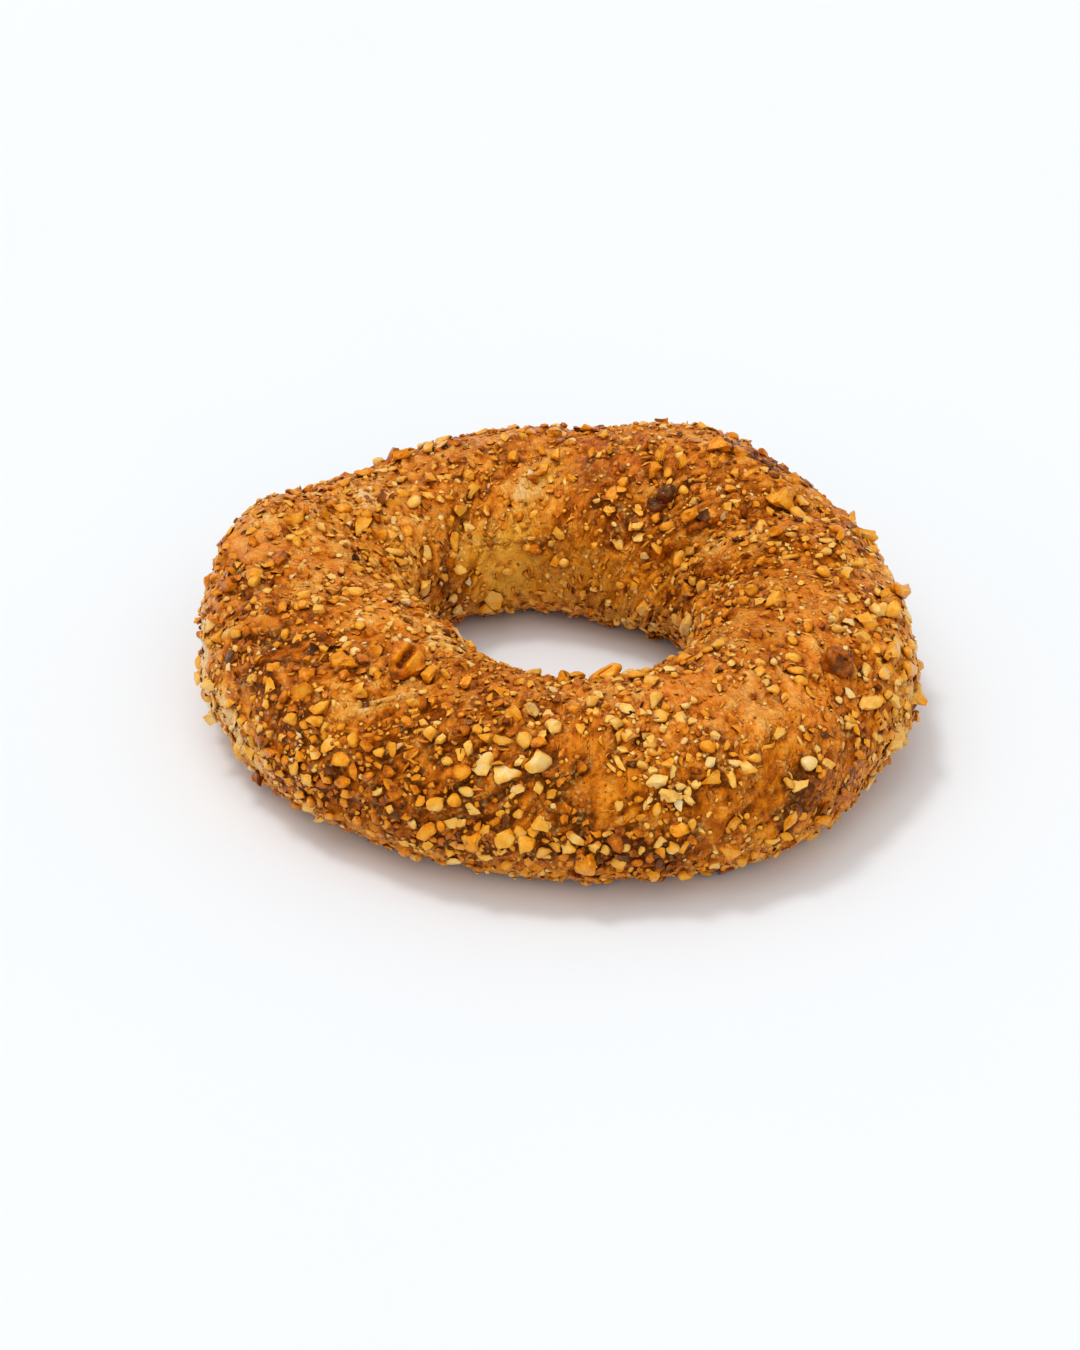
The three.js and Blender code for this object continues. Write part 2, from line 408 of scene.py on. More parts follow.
# Where the crust is pinker (positive) or more golden (negative).
WARMTH = strokes(
    (650, 690, 800, 690, 12.0, 0.35), (590, 445, 680, 450, 10.0, 0.35), (230, 545, 320, 560, 8.0, 0.25),
    (480, 560, 660, 590, 9.0, -0.3), (580, 780, 800, 800, 8.0, -0.3), (370, 500, 430, 540, 6.0, -0.1),
    # The first two strokes on the next line, down the left flank, help paint the light that falls there.
    (202, 600, 206, 715, 6.0, 1.0), (208, 690, 250, 750, 5.0, 0.4), (566, 448, 505, 560, 5.0, -0.4),
    (720, 450, 790, 480, 8.0, -0.4), (460, 590, 660, 600, 8.0, -0.4),
)

# Where the nuts are crowded (positive) or sparse (negative).
CROWDING = strokes(
    (235, 545, 325, 555, 6.0, -0.8), (480, 440, 650, 470, 9.0, -0.5), (700, 692, 800, 700, 9.0, -0.75),
    (730, 620, 830, 600, 8.0, -0.4), (800, 640, 860, 700, 6.0, -0.3), (585, 750, 612, 810, 6.0, -0.95),
    (710, 805, 760, 790, 7.0, -0.75), (790, 745, 830, 800, 7.0, -0.5), (470, 560, 650, 590, 9.0, -0.6),
    (343, 718, 409, 692, 3.0, -0.95), (425, 695, 475, 720, 4.5, -0.7), (230, 640, 290, 700, 7.0, -0.4),
    (420, 835, 650, 858, 5.0, 1.8), (490, 715, 560, 770, 6.0, 0.6), (625, 700, 670, 800, 5.0, 0.9),
    (725, 445, 860, 560, 6.0, 0.9), (665, 555, 790, 520, 3.0, 0.8), (880, 590, 910, 740, 5.0, 0.7),
    (330, 490, 420, 560, 6.0, 0.8), (205, 690, 320, 800, 5.0, 1.2), (280, 700, 360, 770, 7.0, 1.0),
    (330, 585, 450, 640, 6.0, 0.9), (300, 790, 420, 835, 4.0, 0.9), (250, 505, 400, 460, 4.0, 0.8),
    (310, 600, 400, 625, 6.0, 0.6), (600, 715, 730, 745, 5.0, 0.9), (690, 590, 725, 585, 5.0, 0.8),
    (560, 790, 600, 795, 5.0, -0.6), (765, 800, 785, 812, 5.0, -0.5), (590, 510, 630, 525, 6.0, -0.4),
    (395, 755, 420, 770, 5.0, -0.4), (870, 620, 895, 640, 4.0, 0.7), (835, 765, 845, 780, 4.0, 0.4),
    (202, 612, 204, 680, 4.5, -0.9),
)

# Where the nuts are browner (positive) or paler (negative).
NUT_TONE = strokes(
    (490, 720, 570, 780, 10.0, 0.1), (430, 830, 660, 850, 7.0, 0.22), (640, 700, 670, 800, 8.0, -0.14),
    (780, 790, 850, 770, 7.0, 0.08), (206, 690, 240, 740, 5.0, -0.2), (870, 540, 915, 640, 6.0, -0.1),
    (915, 650, 890, 740, 6.0, -0.12), (570, 430, 680, 520, 9.0, 0.12), (380, 740, 470, 800, 9.0, 0.14),
    (240, 620, 300, 700, 7.0, 0.12), (590, 845, 660, 850, 5.0, 0.2), (810, 800, 850, 780, 6.0, 0.22),
    (330, 785, 400, 815, 6.0, 0.26), (720, 450, 780, 470, 7.0, 0.66), (320, 480, 400, 520, 8.0, 0.04),
    (230, 520, 320, 490, 9.0, 0.05), (230, 570, 290, 620, 8.0, 0.08), (440, 450, 540, 440, 8.0, 0.1),
    (800, 480, 850, 520, 7.0, 0.1),
)

# Where small glossy seeds lie thickest.
SEEDING = strokes(
    (215, 610, 300, 700, 9.0, 1.6), (330, 740, 420, 780, 9.0, 1.2), (430, 740, 480, 770, 6.0, 1.0),
    (500, 540, 680, 580, 12.0, 1.2), (560, 490, 640, 520, 8.0, 0.6), (760, 740, 860, 700, 10.0, 0.4),
)

# Layers of noise, as rows of amount, wavelength and seed. Heights and wavelengths are in millimetres.
LUMPS = [(0.55, 13.0, 1), (0.35, 5.5, 2)]
GRIT = [(0.44, 2.6, 3), (0.3, 1.8, 4)]
BROWN_PATCHES = [(0.13, 18.0, 11), (0.12, 7.0, 12), (0.06, 2.4, 13)]

FIBRE_TURNS = 3  # how often the fibres of the twist wind round the rope in one way round the ring
FIBRE_SQUEEZE = 0.4  # the ring's size in the space where fibres are even, as a share of its real size
FIBRE_SWAY = 2.4  # how far the fibres wander, in millimetres


def layered(points, layers):
    """The sum of layers of noise."""
    return sum(amount * noise(points, wavelength, seed) for amount, wavelength, seed in layers)


def fibre_space(around, section):
    """Places on the rope, wound and squeezed so that even noise there makes long fibres on the dough."""
    wound = np.radians(section - FIBRE_TURNS * around)
    turn = np.radians(around)
    ring = FIBRE_SQUEEZE * NOMINAL_RADIUS + NOMINAL_HALF_WIDTH * np.cos(wound)
    return np.stack(
        [ring * np.cos(turn), ring * np.sin(turn), NOMINAL_HALF_WIDTH * np.sin(wound)], axis=-1
    )


def fibre_ways(around, section):
    """Directions of the fibres on the dough."""
    step = 0.5
    turned = FIBRE_TURNS * step
    ahead = dough_point(around + step, section + turned)
    behind = dough_point(around - step, section - turned)
    return unit(ahead - behind)


def fading(points, top):
    """From 0 at the foot of the bread to 1 from a height upwards."""
    return smoothstep(0.2, top, points[:, 2])


def broad_relief(points):
    """Lumps and folds of the dough, in millimetres."""
    return (layered(points, LUMPS) + stroke_field(points, FOLDS)) * fading(points, 4.0)


def fine_relief(points, around, section):
    """Wrinkles along the fibres, knobs of covered nut and small unevenness, in millimetres."""
    sway = np.stack([noise(points, 9.0, seed) for seed in (24, 25, 26)], axis=-1)
    fibres = fibre_space(around, section) + FIBRE_SWAY * sway
    wrinkled = smoothstep(-0.5, 0.5, noise(points, 20.0, 23)) + stroke_field(points, WRINKLING)
    wrinkles = 0.62 * ridges(fibres, 7.0, 21) + 0.4 * ridges(fibres, 3.6, 22) - 0.25
    knobbly = smoothstep(-0.35, 0.4, noise(points, 15.0, 27))
    covered = 0.75 * knobs(points, 5.0, 0.55, 28) + 0.5 * knobs(points, 3.2, 0.6, 29)
    relief = 1.15 * wrinkles * np.clip(0.25 + wrinkled, 0, 1.8) + 1.5 * knobbly * covered
    return (relief + layered(points, GRIT)) * fading(points, 3.0)


def skin_point(around, section):
    """Points and outward directions of the crust with its unevenness, for rows of places."""
    points = dough_point(around, section)
    normals = dough_normal(around, section)
    relief = broad_relief(points) + fine_relief(points, around, section)
    points = points + normals * relief[:, None]
    points[:, 2] = np.maximum(points[:, 2], 0)
    return points, normals


# ---- Meshes and attributes ----


def make_mesh(name, vertices, faces, attributes):
    """One smooth-shaded mesh from arrays, in millimetres. Attributes have one number per vertex."""
    mesh = bpy.data.meshes.new(name)
    mesh.vertices.add(len(vertices))
    mesh.vertices.foreach_set("co", (vertices * MM).astype(np.float32).ravel())
    mesh.loops.add(faces.size)
    mesh.loops.foreach_set("vertex_index", faces.astype(np.int32).ravel())
    mesh.polygons.add(len(faces))
    mesh.polygons.foreach_set("loop_start", np.arange(0, faces.size, faces.shape[1], dtype=np.int32))
    mesh.update(calc_edges=True)
    mesh.validate()
    mesh.shade_smooth()
    for attribute_name, values in attributes.items():
        layer = mesh.attributes.new(attribute_name, "FLOAT", "POINT")
        layer.data.foreach_set("value", np.asarray(values, np.float32).ravel())
    piece = bpy.data.objects.new(name, mesh)
    bpy.context.scene.collection.objects.link(piece)
    return piece


def add_map(piece, name, coordinates):
    """A UV map with one pair of numbers for each corner of each face."""
    layer = piece.data.uv_layers.new(name=name)
    layer.data.foreach_set("uv", coordinates.astype(np.float32).ravel())


def finish_piece(piece, material, slot, *nodes):
    piece.data.materials.append(material)
    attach(piece, "root")
    if nodes:
        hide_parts(*nodes)


# ---- Toppings: where they sit ----


@dataclass
class Toppings:
    """Many pieces of one kind. Sizes are length, width and thickness; tone goes from 0, cream, to 1, dark."""

    place: np.ndarray
    out: np.ndarray
    along: np.ndarray
    size: np.ndarray
    tone: np.ndarray
    pressed: np.ndarray

    def joined(self, other):
        pairs = zip(vars(self).values(), vars(other).values())
        return Toppings(*(np.concatenate(pair) for pair in pairs))

    def kept(self, chosen):
        return Toppings(*(values[chosen] for values in vars(self).values()))

    def reach(self):
        """Half of each piece's middle size across."""
        return self.size[:, :2].mean(axis=1) / 2


def crust_area_table():
    """Running sum of the plain crust's area, cell by cell, to draw even random places from."""
    grid = plain_points.reshape(PLAIN_AROUND, PLAIN_SECTION, 3)
    forward = np.roll(grid, -1, axis=0) - grid
    upward = np.roll(grid, -1, axis=1) - grid
    area = np.linalg.norm(np.cross(forward, upward), axis=2)
    return np.cumsum(area.ravel())


AREA_TABLE = crust_area_table()
CRUST_AREA = AREA_TABLE[-1]


def random_places(rng, count):
    """Places spread evenly over the crust, as rows of around and section."""
    cell = np.searchsorted(AREA_TABLE, rng.random(count) * CRUST_AREA)
    around = (cell // PLAIN_SECTION + rng.random(count)) * 360 / PLAIN_AROUND
    section = (cell % PLAIN_SECTION + rng.random(count)) * 360 / PLAIN_SECTION
    return around, section


CLUMP_WAVELENGTH = 9.0
FEWEST = 0.04  # the least share of nuts that a bare stretch of crust keeps


def clumps_at(points, plan):
    """Random crowding of one kind of topping, about 1."""
    return 1 + plan.clumping * noise(points, CLUMP_WAVELENGTH, plan.seed)


def clear_of_foot(points):
    """0 for places at the foot of the bread, 1 from a little higher up."""
    return smoothstep(0.6, 3.0, points[:, 2])


def nut_weight(points, plan):
    """How many nuts lie at points, as a share of the usual number."""
    crowd = (1 + stroke_field(points, CROWDING)) * clumps_at(points, plan)
    return np.clip(crowd, FEWEST, None) * clear_of_foot(points)


def seed_weight(points, plan):
    """How many seeds lie at points, as a share of the usual number."""
    return (0.4 + stroke_field(points, SEEDING)) * clumps_at(points, plan) * clear_of_foot(points)


def sliver_weight(points, plan):
    """How many slivers lie at points: more where the crust is wrinkled."""
    crowd = (1 + stroke_field(points, WRINKLING)) * clumps_at(points, plan)
    return np.clip(crowd, 0, None) * clear_of_foot(points)


SIGHT_GAP = 2.0  # how far in front of a point the search for what hides it ends
SEEN_SHARE = 0.4  # share of the larger pieces that are placed at random where the camera sees them


def in_sight(point):
    """True if nothing of the crust lies between the camera and a point just outside it."""
    way = point - EYE
    distance = np.linalg.norm(way)
    hit = skin_tree.ray_cast(EYE.tolist(), (way / distance).tolist(), float(distance - SIGHT_GAP))[0]
    return hit is None


def hidden_weight(points, plan):
    """Mostly where the camera doesn't see: what it sees is placed piece by piece."""
    seen = np.array([in_sight(point) for point in points])
    return nut_weight(points, plan) * np.where(seen, SEEN_SHARE, 1.0)


def tangents(rng, normals):
    """Random directions along the surface."""
    random_way = rng.normal(size=normals.shape)
    flat = random_way - normals * np.sum(random_way * normals, axis=1, keepdims=True)
    return unit(flat)


def tilted(rng, normals, spread):
    """Directions leaned away from the normals by a random angle of about the spread, in degrees."""
    lean = np.tan(np.radians(np.abs(rng.normal(0, spread, len(normals)))))
    return unit(normals + tangents(rng, normals) * lean[:, None])


def flattened(along, out):
    """Directions turned to lie square to out."""
    return unit(along - out * np.sum(along * out, axis=1, keepdims=True))


def apart(places, reach, others, other_reach, closeness):
    """Marks the pieces that keep clear of all the others and of those taken before them."""
    taken = np.zeros(len(places), bool)
    all_places = np.concatenate([others, places])
    all_reach = np.concatenate([other_reach, reach])
    tree = KDTree(len(all_places))
    for index, place in enumerate(all_places):
        tree.insert(place, index)
    tree.balance()
    widest = all_reach.max()
    first = len(others)
    for index in range(len(places)):
        clear = True
        for _, other, gap in tree.find_range(places[index], (reach[index] + widest) * closeness):
            if other == first + index:
                continue
            if other >= first and not taken[other - first]:
                continue
            if gap < (reach[index] + all_reach[other]) * closeness:
                clear = False
                break
        taken[index] = clear
    return taken


@dataclass
class Scatter:
    """How one kind of topping is spread over the crust."""

    per_square_cm: float
    length: tuple  # smallest, usual and largest, in millimetres
    width_share: tuple
    thickness_share: tuple
    pressed: tuple
    tilt: float
    tone: tuple  # middle and spread
    clumping: float
    closeness: float
    seed: int
    aligned: float = 0.0  # how strongly the pieces lie along the fibres of the twist


SURPLUS = 3.0  # how many more places are tried than pieces wanted, since crowding takes some away


def scattered(plan, others, weight):
    """Random toppings by a plan, kept apart from other pieces. Weight gives the share kept at each point."""
    rng = np.random.default_rng(plan.seed)
    wanted = plan.per_square_cm * CRUST_AREA / 100
    around, section = random_places(rng, int(wanted * SURPLUS))
    points, normals = skin_point(around, section)
    kept = rng.random(len(points)) * SURPLUS < weight(points, plan)
    points = points[kept]
    normals = normals[kept]
    count = len(points)
    low, usual, high = plan.length
    length = rng.triangular(low, usual, high, count)
    width = length * rng.uniform(*plan.width_share, count)
    thickness = width * rng.uniform(*plan.thickness_share, count)
    out = tilted(rng, normals, plan.tilt)
    tone_middle, tone_spread = plan.tone
    tone = tone_middle + tone_spread * rng.normal(size=count) + stroke_field(points, NUT_TONE)
    ways = tangents(rng, normals)
    if plan.aligned > 0:
        ways = ways + plan.aligned * fibre_ways(around[kept], section[kept])
    made = Toppings(
        points,
        out,
        flattened(ways, out),
        np.stack([length, width, thickness], axis=1),
        np.clip(tone, 0, 1),
        rng.uniform(*plan.pressed, count),
    )
    if plan.closeness > 0:
        made = made.kept(apart(made.place, made.reach(), others.place, others.reach(), plan.closeness))
    return made


# Pieces that stand out in the picture, by shape. Each is the place of its middle, its length and width
# there, all in pixels, the angle of its length, anticlockwise from the right, and its tone.
CHIPS = [
    (304, 607, 11, 9, 0, 0.4), (300, 622, 9, 8, 45, 0.4), (394, 612, 10, 8, 0, 0.45),
    (384, 629, 11, 8, 0, 0.3), (430, 631, 11, 9, -20, 0.28), (446, 648, 20, 9, -15, 0.22),
    (412, 691, 9, 7, 10, 0.25), (423, 693, 10, 7, 30, 0.25), (302, 756, 12, 9, -45, 0.5),
    (238, 720, 21, 13, 80, 0.22), (228, 729, 13, 10, 60, 0.3), (282, 773, 12, 12, 0, 0.4),
    (378, 792, 13, 8, 30, 0.28), (391, 810, 9, 10, 0, 0.3), (414, 823, 12, 12, 20, 0.3),
    (474, 810, 21, 12, -35, 0.18), (485, 829, 13, 12, 60, 0.45), (507, 838, 22, 19, 0, 0.4),
    (531, 712, 21, 16, 75, 0.15), (512, 719, 18, 16, 30, 0.5), (553, 727, 18, 16, 0, 0.22),
    (524, 742, 19, 17, 50, 0.36), (447, 762, 12, 10, 0, 0.35), (521, 684, 14, 10, 10, 0.45),
    (652, 701, 20, 11, 75, 0.28), (627, 711, 19, 12, -20, 0.25), (641, 713, 14, 9, -50, 0.3),
    (647, 737, 14, 9, 0, 0.25), (680, 720, 19, 11, -15, 0.25), (836, 631, 12, 11, 0, 0.25),
    (848, 727, 10, 8, 0, 0.25), (746, 769, 24, 14, -45, 0.25), (796, 784, 20, 15, 50, 0.27),
    (820, 774, 14, 10, 60, 0.48), (642, 767, 14, 12, 0, 0.25), (668, 797, 23, 15, -30, 0.25),
    (680, 787, 15, 10, 10, 0.22), (695, 785, 12, 11, 0, 0.25), (689, 800, 15, 9, -25, 0.25),
    (672, 772, 14, 8, 80, 0.25), (652, 754, 14, 11, -30, 0.3), (659, 841, 17, 11, 25, 0.27),
    (843, 804, 14, 9, 20, 0.6), (576, 839, 22, 12, -30, 0.25), (567, 845, 17, 13, 10, 0.38),
    (606, 850, 13, 11, 0, 0.3), (610, 833, 18, 7, 0, 0.3), (771, 840, 15, 8, 15, 0.35),
    (267, 593, 13, 12, 45, 0.3), (302, 569, 14, 10, 30, 0.35), (332, 593, 19, 10, 15, 0.4),
    (395, 582, 21, 12, -50, 0.35), (412, 591, 12, 8, 20, 0.36), (394, 553, 20, 9, -5, 0.32),
    (426, 553, 17, 11, -70, 0.3), (378, 508, 18, 8, -65, 0.35), (356, 571, 14, 13, 0, 0.45),
    (375, 588, 13, 12, 0, 0.48), (271, 564, 17, 9, 15, 0.45), (319, 551, 15, 10, -20, 0.4),
    (252, 532, 14, 7, 10, 0.45), (252, 544, 9, 6, 0, 0.45), (297, 544, 14, 11, 80, 0.48),
    (828, 542, 22, 9, 5, 0.3), (825, 552, 13, 10, 0, 0.3), (877, 594, 15, 10, 80, 0.3),
    (867, 603, 10, 8, 80, 0.22), (824, 522, 11, 10, 0, 0.3), (761, 456, 15, 12, 0, 0.58),
    (720, 461, 12, 11, 0, 0.56), (689, 624, 24, 16, 80, 0.25), (678, 618, 13, 11, 0, 0.3),
    (779, 591, 11, 10, 0, 0.4), (694, 580, 12, 12, 0, 0.35), (790, 558, 20, 8, 10, 0.42),
    (791, 536, 18, 10, 10, 0.36), (872, 552, 14, 12, 0, 0.42), (430, 481, 14, 12, 60, 0.48),
    (778, 734, 15, 12, 50, 0.32), (882, 675, 15, 13, 80, 0.26), (866, 671, 15, 14, 0, 0.27),
    (461, 823, 14, 10, 15, 0.32), (540, 850, 15, 12, -20, 0.35), (596, 846, 13, 11, 30, 0.34),
    (555, 845, 14, 12, 10, 0.42), (625, 846, 14, 9, -10, 0.3), (640, 850, 12, 10, 0, 0.33),
]
CHUNKS = [
    (373, 651, 19, 16, 0, 0.5), (431, 674, 20, 12, 60, 0.5), (345, 667, 21, 17, -30, 0.55),
    (360, 691, 18, 13, -10, 0.45), (324, 707, 20, 15, 20, 0.48), (317, 721, 14, 13, 0, 0.45),
    (293, 720, 18, 13, 35, 0.4), (297, 765, 15, 13, 60, 0.45), (273, 751, 14, 13, 0, 0.7),
    (265, 739, 14, 12, 0, 0.8), (251, 750, 22, 16, -60, 0.36), (263, 775, 16, 14, 0, 0.8),
    (308, 778, 15, 14, 0, 0.4), (370, 777, 14, 12, 0, 0.7), (435, 804, 21, 18, 0, 0.36),
    (473, 837, 21, 18, 40, 0.52), (529, 842, 23, 20, -60, 0.45), (544, 822, 25, 20, 20, 0.38),
    (502, 743, 21, 14, -30, 0.4), (477, 731, 14, 12, 0, 0.45), (461, 732, 16, 13, 0, 0.68),
    (549, 673, 16, 13, 0, 0.72), (652, 683, 15, 14, 0, 0.35), (615, 725, 18, 14, 0, 0.3),
    (866, 626, 23, 15, -20, 0.45), (891, 652, 30, 14, 65, 0.36), (919, 697, 24, 14, 78, 0.36),
    (657, 782, 23, 15, 10, 0.2), (680, 828, 22, 18, 0, 0.5), (692, 824, 15, 9, 60, 0.45),
    (727, 848, 22, 18, -30, 0.55), (788, 819, 27, 13, 70, 0.5), (785, 836, 15, 10, 0, 0.5),
    (820, 819, 15, 11, 0, 0.5), (841, 794, 15, 13, 0, 0.72), (884, 764, 16, 11, 60, 0.68),
    (585, 861, 25, 20, 60, 0.52), (394, 460, 24, 12, 62, 0.8), (265, 498, 18, 13, 20, 0.78),
    (294, 496, 20, 10, 10, 0.5), (242, 516, 12, 10, 0, 0.72), (257, 517, 20, 10, 15, 0.45),
    (296, 521, 24, 11, 5, 0.48), (345, 485, 18, 13, 20, 0.5), (363, 478, 18, 10, 0, 0.5),
    (414, 491, 10, 8, 0, 0.45), (341, 511, 18, 12, 0, 0.52), (232, 587, 24, 18, 50, 0.68),
    (447, 563, 12, 11, 0, 0.72), (225, 560, 13, 12, 0, 0.45), (393, 506, 15, 14, 0, 0.5),
    (370, 518, 13, 12, 0, 0.5), (345, 521, 14, 12, 70, 0.5), (553, 435, 15, 10, 0, 0.5),
    (513, 459, 13, 11, 0, 0.52), (556, 432, 22, 10, 20, 0.5), (659, 422, 22, 12, 25, 0.5),
    (647, 422, 14, 12, 0, 0.55), (722, 447, 23, 15, 5, 0.55), (739, 454, 15, 12, 0, 0.6),
    (774, 458, 14, 11, 0, 0.58), (656, 473, 16, 12, 70, 0.55), (679, 559, 25, 15, 70, 0.45),
    (691, 551, 14, 12, 0, 0.4), (780, 500, 26, 22, 20, 0.48), (848, 519, 20, 10, 75, 0.5),
    (861, 537, 26, 14, -10, 0.4), (894, 594, 21, 19, 0, 0.45), (774, 651, 11, 11, 0, 0.6),
]
HALVES = [
    (282, 609, 12, 9, 70, 0.5), (214, 624, 21, 11, 65, 0.25), (286, 635, 12, 8, 80, 0.45),
    (237, 633, 10, 9, 0, 0.4), (360, 628, 11, 9, 0, 0.45), (369, 612, 11, 9, 0, 0.45),
    (375, 673, 12, 9, 0, 0.4), (306, 724, 10, 9, 0, 0.45), (428, 830, 20, 14, 35, 0.52),
    (454, 800, 15, 14, 0, 0.48), (467, 791, 18, 11, -5, 0.24), (420, 704, 13, 13, 0, 0.75),
    (638, 678, 20, 14, 15, 0.42), (592, 704, 23, 14, 15, 0.3), (708, 652, 15, 10, 0, 0.45),
    (674, 677, 10, 9, 0, 0.4), (774, 664, 8, 8, 0, 0.12), (792, 642, 10, 10, 0, 0.5),
    (796, 673, 16, 10, 0, 0.45), (904, 670, 19, 17, 0, 0.4), (807, 764, 16, 15, 0, 0.12),
    (801, 815, 10, 10, 0, 0.5), (671, 845, 14, 12, 0, 0.3), (620, 861, 15, 13, 0, 0.32),
    (403, 483, 15, 10, 0, 0.34), (414, 504, 15, 12, 40, 0.28), (255, 578, 20, 18, 0, 0.48),
    (355, 594, 18, 12, -15, 0.4), (669, 475, 12, 10, 80, 0.5), (684, 493, 11, 10, 0, 0.45),
    (667, 527, 17, 11, 10, 0.5), (687, 568, 10, 9, 0, 0.35), (797, 517, 15, 15, 0, 0.4),
    (807, 522, 10, 9, 0, 0.35), (851, 565, 11, 9, 80, 0.3), (879, 611, 15, 12, 60, 0.3),
    (565, 563, 9, 9, 0, 0.3), (622, 584, 9, 7, 0, 0.42), (704, 588, 16, 11, 20, 0.3),
    (807, 628, 12, 10, 80, 0.6), (709, 626, 11, 9, 0, 0.45),
]
FLAKES = [
    (303, 693, 21, 20, 20, 0.55), (329, 745, 18, 13, 30, 0.34), (343, 760, 21, 15, 15, 0.5),
    (212, 715, 15, 13, 0, 0.25), (210, 684, 15, 12, 0, 0.25), (308, 804, 20, 16, -25, 0.3),
    (454, 823, 19, 13, 20, 0.3), (482, 763, 25, 22, 60, 0.16), (507, 772, 28, 18, 20, 0.16),
    (539, 762, 27, 22, 30, 0.18), (872, 702, 25, 20, 30, 0.3), (896, 737, 28, 21, 60, 0.3),
    (731, 778, 22, 8, -70, 0.3), (712, 779, 20, 13, 45, 0.42), (620, 765, 18, 6, -60, 0.3),
    (612, 768, 14, 5, -40, 0.3), (650, 799, 17, 6, 50, 0.25), (645, 806, 12, 6, 70, 0.25),
    (617, 809, 18, 9, 60, 0.25), (733, 823, 19, 18, 0, 0.5), (361, 527, 22, 13, 70, 0.4),
    (460, 570, 15, 10, -20, 0.3), (493, 598, 19, 18, 0, 0.3), (694, 503, 15, 12, 70, 0.3),
    (638, 537, 12, 11, 20, 0.25), (853, 599, 13, 12, 0, 0.35), (210, 604, 17, 14, 60, 0.65),
    (318, 690, 14, 5, 10, 0.3),
]
SKINS = [
    (334, 648, 19, 6, 5, 0.9), (407, 450, 9, 6, 40, 1.0), (272, 495, 12, 5, 40, 0.9),
    (300, 492, 12, 4, 70, 0.9), (607, 664, 9, 3, 75, 1.0), (502, 661, 9, 4, 60, 1.0),
    (640, 417, 10, 4, 60, 0.85), (672, 418, 9, 4, 50, 0.85), (698, 425, 10, 4, 75, 0.8),
    (724, 427, 8, 4, 70, 0.8), (660, 462, 10, 4, 110, 0.8), (240, 512, 9, 4, 60, 0.9),
    (314, 651, 14, 9, 0, 0.9), (703, 519, 12, 8, 30, 0.95), (752, 529, 11, 8, 0, 0.9),
]

# Pieces that stand out from the outline. Their length points the way of the angle.
PROUD = [
    (211, 685, 17, 13, 160, 0.22), (212, 716, 15, 14, 200, 0.18), (238, 724, 24, 15, 75, 0.22),
    (247, 747, 22, 17, 215, 0.28), (262, 774, 16, 12, 230, 0.62), (307, 803, 19, 16, 235, 0.22),
    (896, 738, 20, 16, -40, 0.24), (915, 699, 20, 11, -10, 0.36), (905, 664, 15, 12, 10, 0.36),
    (899, 602, 16, 14, 20, 0.42), (893, 585, 14, 9, 40, 0.45), (868, 538, 14, 9, 40, 0.42),
    (847, 515, 13, 7, 60, 0.5), (640, 420, 12, 6, 65, 0.72), (652, 421, 14, 9, 100, 0.5),
    (663, 421, 14, 8, 80, 0.55), (672, 422, 11, 5, 60, 0.75), (695, 428, 13, 7, 85, 0.5),
    (710, 430, 12, 8, 100, 0.5), (724, 431, 11, 6, 70, 0.7), (740, 441, 12, 7, 60, 0.5),
    (606, 424, 12, 7, 80, 0.5), (583, 425, 10, 6, 95, 0.55), (556, 429, 12, 8, 80, 0.5),
    (533, 428, 10, 6, 110, 0.6), (394, 457, 15, 8, 75, 0.82), (386, 463, 11, 6, 120, 0.7),
    (405, 450, 12, 5, 60, 0.85), (340, 478, 11, 6, 110, 0.55), (300, 490, 12, 5, 100, 0.7),
    (270, 497, 15, 7, 130, 0.8), (262, 498, 13, 6, 160, 0.75), (246, 511, 12, 6, 120, 0.6),
    (222, 540, 11, 6, 150, 0.5), (213, 556, 10, 6, 160, 0.55), (209, 580, 10, 7, 170, 0.6),
    (203, 607, 10, 7, 180, 0.6), (202, 640, 9, 5, 190, 0.35), (205, 700, 10, 6, 180, 0.3),
    (280, 788, 12, 8, 240, 0.35), (333, 811, 11, 7, 250, 0.4), (421, 846, 15, 10, 250, 0.55),
    (455, 856, 14, 10, 260, 0.5), (492, 858, 12, 8, 265, 0.55), (588, 868, 18, 14, 280, 0.5),
    (640, 866, 11, 7, 270, 0.45), (690, 858, 13, 9, 285, 0.42), (729, 852, 15, 12, 280, 0.45),
    (770, 842, 12, 7, 290, 0.38), (824, 822, 12, 8, 300, 0.5), (850, 796, 11, 8, 310, 0.6),
    (872, 778, 12, 8, 315, 0.55), (888, 760, 11, 7, 320, 0.5), (641, 672, 10, 6, 80, 0.5),
    (607, 668, 10, 3, 100, 0.95), (503, 664, 8, 3, 60, 0.9), (560, 684, 9, 5, 90, 0.55),
    (661, 662, 9, 5, 60, 0.5), (540, 676, 9, 5, 80, 0.5),
]

LANDMARK_LEAN = 14.0  # degrees that a piece leans away from the crust at random
MOST_STRETCH = 1.35  # how far a piece may be longer than it looks, where the crust slopes away
STEEPEST = -0.5  # the crust counts as facing the camera at least this much
LEAST_WIDTH = 0.6  # the least width of a piece, as a share of the width that shows
OUTLINE_GROWTH = 1.2  # how much larger a piece on the outline is than the part of it that shows
PROUD_GAP = 0.3  # how far a standing piece's middle may be from the crust, as a share of its length
SEARCH_ROUNDS = 3  # steps in finding where a ray passes nearest to the crust


def seen_on_crust(x, y):
    """The place on the crust, its outward direction and the ray for a pixel, or the nearest to it."""
    ray = picture_ray(x, y)
    hit, normal = skin_tree.ray_cast(EYE.tolist(), ray.tolist())[:2]
    if hit is None:
        nearest = EYE + ray * CAMERA_DISTANCE
        hit, normal = skin_tree.find_nearest(nearest.tolist())[:2]
    return np.array(hit), np.array(normal), ray


